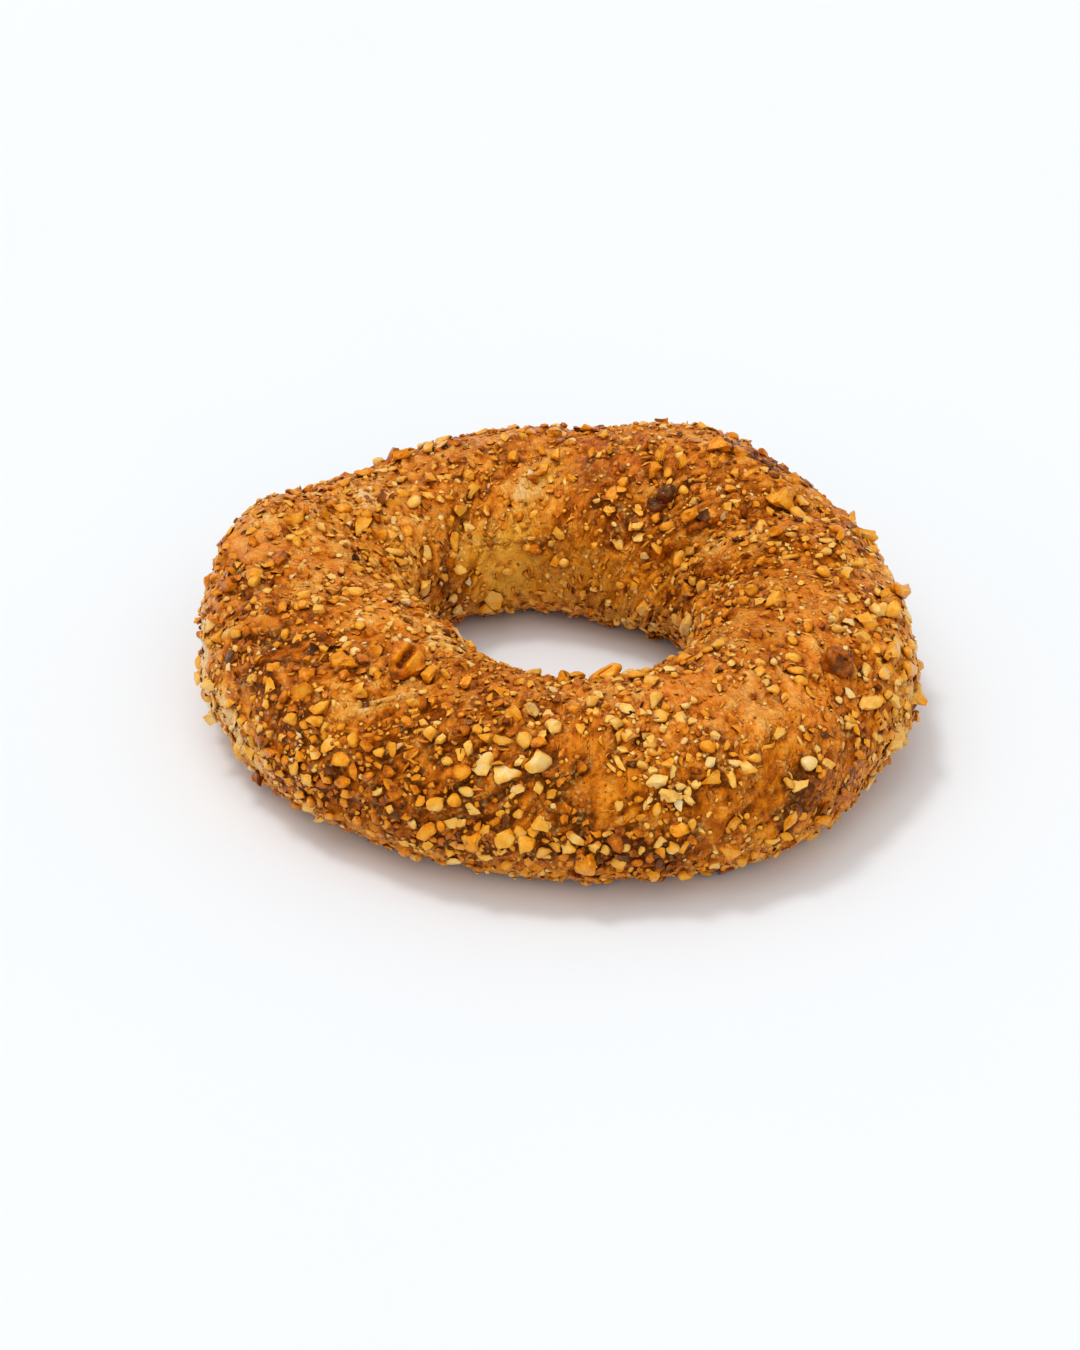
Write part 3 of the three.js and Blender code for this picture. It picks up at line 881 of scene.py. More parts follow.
def picture_directions(length, width, angle, depth):
    """A piece's length and width, from pixels and an angle in the picture to directions in space."""
    scale = depth / FOCAL_PIXELS
    turn = math.radians(angle)
    along = length * scale * (math.cos(turn) * RIGHTWARD + math.sin(turn) * UPWARD)
    sideways = width * scale * (-math.sin(turn) * RIGHTWARD + math.cos(turn) * UPWARD)
    return along, sideways


def toppings_at(places, outs, alongs, sizes, rows, pressed):
    """Toppings from lists, with the tones that end the rows of a table."""
    return Toppings(
        np.array(places),
        outs,
        flattened(np.array(alongs), outs),
        np.array(sizes),
        np.array([row[5] for row in rows]),
        pressed,
    )


def laid_on_crust(way, ray, normal):
    """A direction in the picture's plane, slid along the ray until it lies in the crust."""
    facing = min(np.dot(ray, normal), STEEPEST)
    on_crust = way - ray * np.dot(way, normal) / facing
    most = MOST_STRETCH * np.linalg.norm(way)
    return on_crust * min(1.0, most / np.linalg.norm(on_crust))


def landmark_toppings(rows, thickness_share, pressed, seed):
    """The pieces seen in the picture, carried onto the crust by rays from the camera."""
    rng = np.random.default_rng(seed)
    places = []
    outs = []
    alongs = []
    sizes = []
    for x, y, length, width, angle, _ in rows:
        hit, normal, ray = seen_on_crust(x, y)
        depth = np.dot(hit - EYE, FORWARD)
        seen_along, seen_sideways = picture_directions(length, width, angle, depth)
        along = laid_on_crust(seen_along, ray, normal)
        sideways = laid_on_crust(seen_sideways, ray, normal)
        sideways = sideways - along * np.dot(sideways, along) / np.dot(along, along)
        seen_width = np.linalg.norm(seen_sideways)
        full_width = max(np.linalg.norm(sideways), LEAST_WIDTH * seen_width)
        places.append(hit)
        outs.append(normal)
        alongs.append(along)
        sizes.append((np.linalg.norm(along), full_width, seen_width * rng.uniform(*thickness_share)))
    outs = tilted(rng, np.array(outs), LANDMARK_LEAN)
    return toppings_at(places, outs, alongs, sizes, rows, rng.uniform(*pressed, len(rows)))


def proud_toppings(rows, thickness_share, lean, seed):
    """Pieces that stand on edge round the outline, their faces turned roughly to the camera."""
    rng = np.random.default_rng(seed)
    places = []
    alongs = []
    sizes = []
    for x, y, length, width, angle, _ in rows:
        ray = picture_ray(x, y)
        far = EYE + ray * CAMERA_DISTANCE
        for _ in range(SEARCH_ROUNDS):
            nearest = np.array(skin_tree.find_nearest(far.tolist())[0])
            far = EYE + ray * np.dot(nearest - EYE, ray)
        depth = np.dot(far - EYE, FORWARD)
        along, sideways = picture_directions(
            length * OUTLINE_GROWTH, width * OUTLINE_GROWTH, angle, depth
        )
        reach = np.linalg.norm(along)
        gap = np.linalg.norm(far - nearest)
        pull = max(0.0, 1 - PROUD_GAP * reach / max(gap, 1e-6))
        places.append(far + (nearest - far) * pull)
        alongs.append(along)
        sizes.append((reach, np.linalg.norm(sideways), reach * rng.uniform(*thickness_share)))
    outs = tilted(rng, np.repeat(-FORWARD[None], len(rows), axis=0), lean)
    return toppings_at(places, outs, alongs, sizes, rows, np.zeros(len(rows)))


# ---- Toppings: their shapes ----


def ball_template(detail):
    """Directions and triangles of a ball, from an icosahedron."""
    ball = bmesh.new()
    bmesh.ops.create_icosphere(ball, subdivisions=detail, radius=1.0)
    points = np.array([vertex.co[:] for vertex in ball.verts])
    faces = np.array([[vertex.index for vertex in face.verts] for face in ball.faces])
    ball.free()
    return unit(points), faces


BALLS = {detail: ball_template(detail) for detail in range(1, 6)}


def fitted(shapes):
    """Shapes moved and stretched to reach from -1 to 1 each way."""
    low = shapes.min(axis=1, keepdims=True)
    high = shapes.max(axis=1, keepdims=True)
    return (shapes - (low + high) / 2) * 2 / (high - low)


EDGE_POWER = 11  # the higher, the less the edges of the polyhedra are rounded off
DRAW_ROUNDS = 3  # how often points are drawn towards the edges


def face_of(planes, order, rank):
    """For each point, the face that is its nearest, second or third."""
    index = order[..., rank, None]
    return np.take_along_axis(planes, index, axis=1)


def drawn(ways, towards, step, most):
    """Directions turned a step along others, but only those that need no more than the most."""
    towards = towards - ways * np.sum(towards * ways, axis=-1, keepdims=True)
    slope = np.maximum(np.linalg.norm(towards, axis=-1), 1e-6)
    near = np.abs(step) / slope < most
    turn = np.where(near, step / slope**2, 0.0)
    return unit(ways - towards * turn[..., None])


def cut_ball(template, normals, offsets):
    """Polyhedra, given each one's faces as outward directions and distances from the middle.

    Points of the template that are near an edge or a corner are drawn onto it, so that edges are crisp.
    """
    planes = normals / offsets[..., None]
    most = 0.5 * math.sqrt(4 * math.pi / len(template))
    ways = np.repeat(template[None], len(normals), axis=0)
    for _ in range(DRAW_ROUNDS):
        facing = np.einsum("nvd,nkd->nvk", ways, planes)
        order = np.argsort(-facing, axis=2)
        first, second, third = (face_of(planes, order, rank) for rank in range(3))
        along = np.cross(ways, first - second)
        lead = np.sum(ways * (first - second), axis=-1)
        ways = drawn(ways, first - second, lead, most)
        middle = (first + second) / 2 - third
        middle = unit(along) * np.sum(unit(along) * middle, axis=-1, keepdims=True)
        lead = np.sum(ways * ((first + second) / 2 - third), axis=-1)
        ways = drawn(ways, middle, lead, most)
    facing = np.maximum(np.einsum("nvd,nkd->nvk", ways, planes), 0)
    reach = np.sum(facing**EDGE_POWER, axis=2) ** (-1 / EDGE_POWER)
    return ways * reach[..., None]


def cut_box(rng, template, count, cuts, closeness):
    """Boxes with flat cuts at random through their corners."""
    box = np.concatenate([np.eye(3), -np.eye(3)])
    box = unit(box[None] + rng.normal(0, 0.2, (count, 6, 3)))
    normals = np.concatenate([box, unit(rng.normal(size=(count, cuts, 3)))], axis=1)
    box_offsets = rng.uniform(0.84, 1.06, (count, 6))
    offsets = np.concatenate([box_offsets, rng.uniform(*closeness, (count, cuts))], axis=1)
    return fitted(cut_ball(template, normals, offsets))


def split_piece(rng, template, count, sides, cuts):
    """Slabs as a nut breaks: steep sides that make an uneven outline, a slanting top and a few cuts."""
    turn = 2 * math.pi * (np.arange(sides) / sides + rng.random((count, 1)))
    turn = turn + rng.normal(0, 0.9 / sides, (count, sides))
    walls = np.stack([np.cos(turn), np.sin(turn), rng.normal(0.1, 0.22, (count, sides))], axis=-1)
    top = np.concatenate([rng.normal(0, 0.22, (count, 1, 2)), np.ones((count, 1, 1))], axis=2)
    base = -np.ones((count, 1, 3)) * [0.0, 0.0, 1.0]
    extra = rng.normal(size=(count, cuts, 3))
    normals = unit(np.concatenate([walls, top, base, extra], axis=1))
    wall_offsets = rng.uniform(0.45, 1.0, (count, sides))
    flat_offsets = rng.uniform(0.75, 0.95, (count, 2))
    cut_offsets = rng.uniform(0.75, 1.05, (count, cuts))
    offsets = np.concatenate([wall_offsets, flat_offsets, cut_offsets], axis=1)
    return fitted(cut_ball(template, normals, offsets))


def rounded_box(rng, template, count, squareness=(1.9, 2.7)):
    """Shapes between a ball and a box, each a little uneven."""
    power = rng.uniform(*squareness, (count, 1, 1))
    way = template[None] + rng.normal(0, 0.12, (count, 1, 3))
    reach = np.sum(np.abs(way) ** power, axis=2, keepdims=True) ** (-1 / power)
    return fitted(template[None] * reach)


def chipped(rng, shapes, template, scoops, nearest):
    """Shapes with hollows where bits have split off, each the mark of a ball beside the shape."""
    count = len(shapes)
    side = rng.normal(size=(count, scoops, 3)) * [1.0, 1.0, 0.6]
    direction = unit(side)
    radius = rng.uniform(0.3, 0.7, (count, scoops, 1))
    distance = radius + rng.uniform(*nearest, (count, scoops, 1))
    towards = np.einsum("vd,nkd->nkv", template, direction) * distance
    under_root = radius**2 - distance**2 + towards**2
    met = (under_root > 0) & (towards > 0)
    reach = np.where(met, towards - np.sqrt(np.maximum(under_root, 0)), np.inf).min(axis=1)
    length = np.linalg.norm(shapes, axis=2)
    return shapes * np.minimum(1.0, reach / length)[..., None]


def lobed(template, lobes, blend):
    """One shape round several balls, given as x, y, z and radius. The first holds the middle."""
    reach = np.zeros(len(template))
    for x, y, z, radius in lobes:
        centre = np.array([x, y, z])
        towards = template @ centre
        under_root = radius**2 - centre @ centre + towards**2
        met = (under_root > 0) & (towards + radius > 0)
        far = np.where(met, towards + np.sqrt(np.maximum(under_root, 0)), 0.0)
        reach += np.maximum(far, 0) ** blend
    return (template * (reach ** (1 / blend))[:, None])[None]


def furrow_mask(shapes, turn, offset, width, reach):
    """How close points on the upper side are to a line across it, from 0 to 1 on the line."""
    x, y, z = np.moveaxis(shapes, -1, 0)
    angle = math.radians(turn)
    across = y * math.cos(angle) - x * math.sin(angle) - offset
    along = np.abs(x * math.cos(angle) + y * math.sin(angle))
    line = np.exp(-((across / width) ** 2))
    return line * smoothstep(reach + 0.15, reach - 0.15, along) * smoothstep(0.0, 0.35, z)


def spot_mask(shapes, x, y, width):
    """How close points on the upper side are to a spot, from 0 to 1 on the spot."""
    gap = np.hypot(shapes[..., 0] - x, shapes[..., 1] - y)
    return np.exp(-((gap / width) ** 2)) * smoothstep(0.0, 0.35, shapes[..., 2])


def raised(shapes, mask, amount):
    """Shapes moved up, or down with a negative amount, where the mask says."""
    result = shapes.copy()
    result[..., 2] += amount * mask
    return result


def roughened(rng, shapes, wavelength, amount):
    """Shapes with small lumps, each its own."""
    offsets = rng.uniform(-50, 50, (len(shapes), 1, 3))
    return shapes * (1 + amount * noise(shapes + offsets, wavelength)[..., None])


def warped(rng, shapes, wavelength, amount):
    """Shapes bent and twisted a little, so that flat sides bow and straight edges curve."""
    offsets = rng.uniform(-50, 50, (len(shapes), 1, 3))
    ways = [noise(shapes + offsets, wavelength, seed) for seed in (1, 2, 3)]
    return fitted(shapes + amount * np.stack(ways, axis=-1))


def ragged(rng, shapes, amount):
    """Shapes with a scalloped outline."""
    angle = np.arctan2(shapes[..., 1], shapes[..., 0])
    factor = np.ones(angle.shape)
    for waves, share in ((2, 0.6), (3, 0.8), (5, 0.6), (8, 0.4)):
        phase = rng.uniform(0, 2 * math.pi, (len(shapes), 1))
        strength = rng.uniform(0.2, 1.0, (len(shapes), 1))
        factor += amount * share * strength * np.sin(waves * angle + phase)
    result = shapes.copy()
    result[..., :2] *= factor[..., None]
    return result


def bent_slivers(rng, template, count):
    """Slim pieces, pointed at their ends and bent in an arc or an S."""
    shapes = rounded_box(rng, template, count)
    x = shapes[..., 0]
    arc = rng.normal(0, 1.6, (count, 1))
    wave = rng.normal(0, 0.9, (count, 1))
    shapes[..., 1:] *= (1 - 0.55 * x**2)[..., None]
    shapes[..., 1] += arc * (x**2 - 0.4) + wave * np.sin(math.pi * x)
    shapes[..., 2] += rng.normal(0, 0.7, (count, 1)) * (x**2 - 0.3)
    return shapes


def curled(rng, shapes, size, amount):
    """Rise of thin pieces at their ends and edges, as a share of their length."""
    length_curl = rng.uniform(-0.3, 1.0, (len(shapes), 1)) * amount
    width_curl = rng.uniform(-0.5, 1.0, (len(shapes), 1)) * amount
    wave = rng.uniform(0, 2 * math.pi, (len(shapes), 1))
    rise = length_curl * shapes[..., 0] ** 2
    rise += width_curl * shapes[..., 1] ** 2
    rise += 0.4 * amount * np.sin(2.2 * shapes[..., 0] + 1.7 * shapes[..., 1] + wave)
    return rise * size[:, :1]


LOWEST_NUT = 0.05  # nuts at the foot of the bread are squashed flat on what it rests on
MAP_NAME = "OFBake"
CELL_FILL = 0.44  # how far a piece reaches from the middle of its half of a cell in the map
SHARP_EDGE = math.radians(40)


def place_shapes(shapes, toppings, rise):
    """Unit shapes put on the crust at their sizes. Returns points, and each one's height above the crust."""
    local = shapes * toppings.size[:, None, :] / 2
    local[..., 2] += rise
    lift = toppings.size[:, 2] * (0.5 - toppings.pressed)
    side = np.cross(toppings.out, toppings.along)
    above = local[..., 2] + lift[:, None]
    points = (
        toppings.place[:, None]
        + local[..., 0:1] * toppings.along[:, None]
        + local[..., 1:2] * side[:, None]
        + above[..., None] * toppings.out[:, None]
    )
    points[..., 2] = np.maximum(points[..., 2], LOWEST_NUT)
    return points, above


def cell_map(template, faces, first, count, total):
    """A UV map with a cell for each piece, its upper half beside its lower half."""
    columns = math.ceil(math.sqrt(total / 2))
    rows = math.ceil(total / columns)
    upper = template[faces].mean(axis=1)[:, 2] > 0
    corners = template[faces][..., :2] * CELL_FILL
    middle = np.where(upper[:, None, None], [0.25, 0.5], [0.75, 0.5])
    local = middle + corners * [0.5, 1.0]
    index = first + np.arange(count)
    origin = np.stack([index % columns, index // columns], axis=1)
    return (origin[:, None, None] + local[None]) / [columns, rows]


@dataclass
class Batch:
    """Pieces of one kind whose shapes have the same number of points. Shade browns or pales parts, some as
    painted light.
    """

    detail: int
    shapes: np.ndarray
    toppings: Toppings
    rise: np.ndarray = 0.0
    shade: np.ndarray = 0.0


def join_toppings(name, batches, material, slot, nodes=()):
    """One mesh of many pieces, with the attributes that their material reads."""
    total = sum(len(batch.toppings.place) for batch in batches)
    vertices = []
    faces = []
    coordinates = []
    values = {"tone": [], "above": [], "edge": []}
    piece_start = 0
    vertex_start = 0
    for batch in batches:
        template, template_faces = BALLS[batch.detail]
        points, above = place_shapes(batch.shapes, batch.toppings, batch.rise)
        count, corners, _ = points.shape
        starts = vertex_start + corners * np.arange(count)
        vertices.append(points.reshape(-1, 3))
        faces.append((template_faces[None] + starts[:, None, None]).reshape(-1, 3))
        batch_map = cell_map(template, template_faces, piece_start, count, total)
        coordinates.append(batch_map.reshape(-1, 2))
        shaded = batch.toppings.tone[:, None] + np.broadcast_to(batch.shade, (count, corners))
        values["tone"].append(shaded.ravel())
        values["above"].append(above.ravel())
        values["edge"].append(np.linalg.norm(batch.shapes[..., :2], axis=2).ravel())
        piece_start += count
        vertex_start += count * corners
    attributes = {key: np.concatenate(parts) for key, parts in values.items()}
    piece = make_mesh(name, np.concatenate(vertices), np.concatenate(faces), attributes)
    piece.data.set_sharp_from_angle(angle=SHARP_EDGE)
    add_map(piece, MAP_NAME, np.concatenate(coordinates))
    finish_piece(piece, material, slot, *nodes)
    return piece


# ---- Materials ----


def colour(red, green, blue):
    """A colour as seen on screen, 0 to 255, as the linear numbers that a shader takes."""
    linear = []
    for value in (red, green, blue):
        share = value / 255
        linear.append(share / 12.92 if share <= 0.04045 else ((share + 0.055) / 1.055) ** 2.4)
    return (*linear, 1.0)


def stops(*rows):
    """Stops of a colour ramp, from rows of a position and a colour's red, green and blue."""
    return [(position, colour(*shade)) for position, *shade in rows]


# Numbers of the mix node's colour sockets, whose names stand for other sockets too.
MIX_FIRST = 6
MIX_SECOND = 7
MIX_RESULT = 2
OCCLUSION_SAMPLES = 6


class Shader:
    """A material with short calls for the nodes that it needs."""

    def __init__(self, name, **inputs):
        self.material = bpy.data.materials.new(name)
        self.material.use_nodes = True
        self.tree = self.material.node_tree
        self.surface = self.tree.nodes["Principled BSDF"]
        self.fill(self.surface, inputs)

    def give(self, socket, value):
        if isinstance(value, bpy.types.NodeSocket):
            self.tree.links.new(value, socket)
        else:
            socket.default_value = value

    def fill(self, node, inputs):
        """Gives a node's inputs values or links. Underscores stand for the spaces in their names."""
        for name, value in inputs.items():
            self.give(node.inputs[name.replace("_", " ")], value)

    def node(self, kind, **inputs):
        node = self.tree.nodes.new("ShaderNode" + kind)
        self.fill(node, inputs)
        return node

    def attribute(self, name):
        node = self.node("Attribute")
        node.attribute_name = name
        return node.outputs["Fac"]

    def place(self):
        return self.node("TexCoord").outputs["Object"]

    def stretched(self, map_name, across, along, turn):
        """The crust's own map, turned and stretched into long fibres."""
        source = self.node("UVMap")
        source.uv_map = map_name
        turned = (0, 0, math.radians(turn))
        squeezed = (1 / across, 1 / along, 1)
        mapping = self.node("Mapping", Vector=source.outputs["UV"], Rotation=turned, Scale=squeezed)
        return mapping.outputs["Vector"]

    def noise(self, vector, scale, detail=3.0, roughness=0.55, distortion=0.0):
        node = self.node("TexNoise", Vector=vector, Scale=scale, Detail=detail, Roughness=roughness)
        self.give(node.inputs["Distortion"], distortion)
        return node.outputs["Fac"]

    def cells(self, vector, scale, feature="SMOOTH_F1"):
        node = self.node("TexVoronoi", Vector=vector, Scale=scale)
        node.feature = feature
        return node.outputs["Distance"]

    def maths(self, operation, *values):
        node = self.node("Math")
        node.operation = operation
        for socket, value in zip(node.inputs, values):
            self.give(socket, value)
        return node.outputs[0]

    def times(self, first, second):
        return self.maths("MULTIPLY", first, second)

    def plus(self, value, other, share):
        """A value and a share of another."""
        return self.maths("MULTIPLY_ADD", other, share, value)

    def varied(self, value, pattern, amount):
        """A value that a pattern moves up or down by as much as half the amount."""
        swing = self.maths("MULTIPLY_ADD", pattern, amount, -amount / 2)
        return self.maths("ADD", value, swing)

    def between(self, value, low, high, start=0.0, end=1.0):
        """Smooth change from start to end as a value goes from low to high."""
        node = self.node("MapRange", Value=value, From_Min=low, From_Max=high, To_Min=start, To_Max=end)
        node.interpolation_type = "SMOOTHSTEP"
        return node.outputs["Result"]

    def patches(self, place, scale, low, high=0.6, least=0.0):
        """Patches here and there, from the least between them to 1 in them."""
        return self.between(self.noise(place, scale, 2.0), low, high, least, 1.0)

    def ramp(self, value, colours):
        node = self.node("ValToRGB", Fac=value)
        elements = node.color_ramp.elements
        while len(elements) < len(colours):
            elements.new(0.5)
        for element, (position, shade) in zip(elements, colours):
            element.position = position
            element.color = shade
        return node.outputs["Color"]

    def mix(self, share, first, second):
        node = self.node("Mix")
        node.data_type = "RGBA"
        for key, value in (("Factor", share), (MIX_FIRST, first), (MIX_SECOND, second)):
            self.give(node.inputs[key], value)
        return node.outputs[MIX_RESULT]

    def bump(self, height, distance):
        return self.node("Bump", Height=height, Distance=distance * MM, Strength=1.0).outputs["Normal"]

    def painted_gap_shade(self, distance, strength):
        """Painted shade: from 0 in the open to the strength in a narrow gap, as an occlusion node finds it.
        """
        node = self.node("AmbientOcclusion", Distance=distance * MM)
        node.samples = OCCLUSION_SAMPLES
        return self.between(node.outputs["AO"], 0.3, 0.92, strength, 0.0)

    def finish(self, **inputs):
        self.fill(self.surface, inputs)
        return self.material


GRAIN_MAP = "crust_grain"
GLOSS_TINT = colour(255, 202, 104)  # the glaze gives warm highlights
NUT_GLOSS_TINT = colour(255, 210, 130)
GLAZE = colour(202, 105, 4)
# Pores and slits are painted dark, as the shade inside them.
PORE_SHADE = colour(84, 38, 8)
SLIT_SHADE = colour(92, 42, 10)
PALE_GRAIN = colour(252, 196, 108)
# Colours of painted shade for narrow gaps; on the crust it also stands for glaze gathered there.
WIDE_GAP_SHADE_AND_GLAZE = colour(104, 44, 0)
NARROW_GAP_SHADE_AND_GLAZE = colour(84, 34, 0)
NUT_GAP_SHADE = colour(96, 40, 0)
GOLDEN_CRUST = stops(
    (0.0, 255, 183, 62), (0.14, 252, 170, 48), (0.5, 228, 134, 20), (0.76, 174, 84, 0), (1.0, 92, 38, 0)
)
ROSY_CRUST = stops(
    (0.0, 255, 218, 164), (0.14, 255, 180, 86), (0.5, 237, 131, 32), (0.76, 178, 80, 2), (1.0, 92, 36, 2)
)
NUT_COLOURS = stops(
    (0.0, 244, 214, 160), (0.2, 248, 200, 108), (0.42, 243, 169, 48), (0.58, 236, 141, 10),
    (0.74, 198, 98, 0), (0.88, 140, 62, 2), (1.0, 84, 34, 8),
)
DARK_COLOURS = stops((0.3, 196, 112, 36), (0.6, 142, 68, 22), (0.82, 98, 40, 16), (1.0, 64, 24, 12))
FLOOR_COLOURS = stops((0.0, 236, 240, 243), (1.0, 239, 243, 246))


def crust_material():
    """Baked crust, golden or rosy brown: pale grains, fibres on the twist, painted shade in gaps, pores,
    slits.
    """
    shader = Shader("baked_crust", IOR=1.45, Specular_IOR_Level=0.36, Specular_Tint=GLOSS_TINT)
    place = shader.place()
    mottle = shader.noise(place, 210, 4.0, 0.62)
    freckle = shader.noise(place, 1000, 3.0, 0.6)
    fibres = shader.noise(shader.stretched(GRAIN_MAP, 1.1, 6.0, 60), 1.0, 3.0, 0.6, 0.8)
    fine_fibres = shader.noise(shader.stretched(GRAIN_MAP, 0.5, 2.6, 48), 1.0, 2.0, 0.6, 0.7)

    shade = shader.attribute("browning_and_shade")
    for pattern, amount in ((mottle, 0.8), (freckle, 0.36), (fibres, 0.4)):
        shade = shader.varied(shade, pattern, amount)
    golden = shader.ramp(shade, GOLDEN_CRUST)
    rosy = shader.ramp(shade, ROSY_CRUST)
    base = shader.mix(shader.attribute("warmth"), golden, rosy)

    well_baked = shader.between(shade, 0.2, 0.45)
    # Pores: small holes, painted dark as the shade in them, where the crust is well baked.
    pores = shader.between(shader.cells(place, 620, "F1"), 0.14, 0.2, 1.0, 0.0)
    pores = shader.times(pores, shader.times(shader.patches(place, 130, 0.48), well_baked))
    base = shader.mix(shader.times(pores, 0.8), base, PORE_SHADE)

    # Slits: fine cracks along the grain, painted dark as the shade in them.
    slit_space = shader.stretched(GRAIN_MAP, 0.55, 2.8, 56)
    slits = shader.between(shader.noise(slit_space, 1.0, 1.0, 0.5, 1.2), 0.66, 0.72)
    slits = shader.times(slits, shader.times(shader.patches(place, 90, 0.42), well_baked))
    base = shader.mix(shader.times(slits, 0.8), base, SLIT_SHADE)

    grains = shader.between(shader.cells(place, 900), 0.5, 0.12)
    grains = shader.times(grains, shader.patches(place, 170, 0.42))
    base = shader.mix(shader.times(grains, 0.55), base, PALE_GRAIN)

    # Painted shade in the crust's gaps, which also stands for glaze gathered in them.
    base = shader.mix(shader.painted_gap_shade(2.6, 0.85), base, WIDE_GAP_SHADE_AND_GLAZE)
    base = shader.mix(shader.painted_gap_shade(1.1, 1.0), base, NARROW_GAP_SHADE_AND_GLAZE)

    lumps = shader.noise(place, 520, 2.0, 0.5, 0.6)
    height = shader.plus(shader.times(fibres, 0.9), fine_fibres, 0.6)
    height = shader.times(height, shader.patches(place, 75, 0.4, 0.62, 0.2))
    for pattern, amount in ((lumps, 1.3), (grains, 0.5), (freckle, 0.35), (pores, -0.35), (slits, -0.5)):
        height = shader.plus(height, pattern, amount)
    roughness = shader.between(freckle, 0.3, 0.75, 0.18, 0.38)
    return shader.finish(Base_Color=base, Roughness=roughness, Normal=shader.bump(height, 1.0))


def nut_material(name, glaze_height, edge_browning, gloss):
    """Chopped nut: pale inside, browned edges, in the crust's own glaze where it is low, painted shade in
    gaps.
    """
    shader = Shader(name, IOR=1.47, Specular_IOR_Level=0.66, Specular_Tint=NUT_GLOSS_TINT)
    place = shader.place()
    mottle = shader.noise(place, 480, 3.0, 0.6)
    fine = shader.noise(place, 2000, 2.0, 0.6)
    rim = shader.between(shader.attribute("edge"), 0.5, 1.1, 0.0, edge_browning)
    value = shader.maths("ADD", shader.attribute("tone"), rim)
    value = shader.varied(shader.varied(value, mottle, 0.7), fine, 0.3)
    base = shader.ramp(value, NUT_COLOURS)
    glaze = shader.between(shader.attribute("above"), -0.1, glaze_height, 0.85, 0.0)
    base = shader.mix(glaze, base, GLAZE)
    # Painted shade in the gaps round and between the nuts.
    base = shader.mix(shader.painted_gap_shade(1.2, 1.0), base, NUT_GAP_SHADE)
    roughness = shader.between(mottle, 0.3, 0.7, gloss, gloss + 0.2)
    height = shader.plus(shader.times(mottle, 0.7), fine, 0.35)
    return shader.finish(Base_Color=base, Roughness=roughness, Normal=shader.bump(height, 0.4))


def dark_material():
    """Nut skins and caramelised nut: dark red-brown, with a hard gloss."""
    shader = Shader("dark_nut", IOR=1.5, Specular_IOR_Level=0.6, Specular_Tint=NUT_GLOSS_TINT)
    mottle = shader.noise(shader.place(), 420, 3.0, 0.6)
    base = shader.ramp(shader.varied(shader.attribute("tone"), mottle, 0.8), DARK_COLOURS)
    roughness = shader.between(mottle, 0.35, 0.65, 0.08, 0.24)
    return shader.finish(Base_Color=base, Roughness=roughness, Normal=shader.bump(mottle, 0.3))


def floor_material():
    shader = Shader("floor", Roughness=0.85, Specular_IOR_Level=0.2)
    return shader.finish(Base_Color=shader.ramp(shader.noise(shader.place(), 6, 2.0), FLOOR_COLOURS))


# ---- The crust ----

CRUST_AROUND = 520
CRUST_SECTION = 190
HIDDEN_SHARE = 0.7  # how much thinner the mesh is under the bread than on its top
HIDDEN_SPREAD = 42.0
MARK_REACH = 1.6  # how far beyond its edge a nut changes the crust
HILL_WIDTH = 0.7  # how gently the crust rises to a nut
# The browned line round a nut is partly glaze and partly painted shadow where the nut meets the crust.
GLAZE_AND_SHADE_WIDTH = 0.5  # half the width of the browned line round a nut


def section_angles(count):
    """Angles round the rope, closer together where the crust shows than under the bread."""
    fine = np.linspace(-90, 270, 2001)
    under = np.abs(turn_between(270.0, fine))
    weight = 1 - HIDDEN_SHARE * np.exp(-((under / HIDDEN_SPREAD) ** 2))
    running = np.concatenate([[0], np.cumsum((weight[1:] + weight[:-1]) / 2)])
    return np.interp(np.arange(count) / count, running / running[-1], fine)


crust_around, crust_section = np.meshgrid(
    np.arange(CRUST_AROUND) * 360 / CRUST_AROUND,
    section_angles(CRUST_SECTION),
    indexing="ij",
)
crust_around = crust_around.ravel()
crust_section = crust_section.ravel()
crust_points, crust_normals = skin_point(crust_around, crust_section)
crust_faces = grid_faces(CRUST_AROUND, CRUST_SECTION)
skin_tree = ray_tree(crust_points, crust_faces)


def press_toppings(points, toppings, lift, dark):
    """How far the crust is drawn up round each topping, and the browned line by it: glaze and painted shadow.
    """
    tree = KDTree(len(points))
    for index, point in enumerate(points):
        tree.insert(point, index)
    tree.balance()
    raised_by = np.zeros(len(points))
    glaze_and_shade = np.zeros(len(points))
    for place, reach, size in zip(toppings.place, toppings.reach(), toppings.size):
        found = tree.find_range(place, reach + MARK_REACH)
        if not found:
            continue
        index = np.array([item[1] for item in found])
        gap = np.array([item[2] for item in found])
        hill = lift * size[2] * np.exp(-((np.maximum(gap - 0.6 * reach, 0) / HILL_WIDTH) ** 2))
        # Glaze gathered by the nut, and painted shadow where it meets the crust.
        line = dark * np.exp(-(((gap - reach) / GLAZE_AND_SHADE_WIDTH) ** 2))
        raised_by[index] = np.maximum(raised_by[index], hill)
        glaze_and_shade[index] = np.maximum(glaze_and_shade[index], line)
    return raised_by, glaze_and_shade


def browning_and_shade_at(points, broad, fine):
    """How brown the crust looks, from 0, pale, to 1, dark brown, with painted shade in hollows, light on
    crests.
    """
    value = 0.5 + layered(points, BROWN_PATCHES)
    value -= 0.22 * (1 - smoothstep(1.0, 13.0, points[:, 2]))
    # Painted shade and light: darker in the hollows of the fine relief, paler on its crests.
    value += 0.04 * broad - 0.26 * (fine - fine.mean())
    value += stroke_field(points, BROWNING_AND_SHADING)
    return value


def warmth_at(points, section):
    """How pink the crust is: most on the top, least low down and in the hole."""
    upward = np.sin(np.radians(section))
    value = 0.3 + 0.4 * np.clip(upward, -0.5, 1) + 0.15 * noise(points, 12.0, 14)
    value += stroke_field(points, WARMTH)
    return np.clip(value, 0, 1)


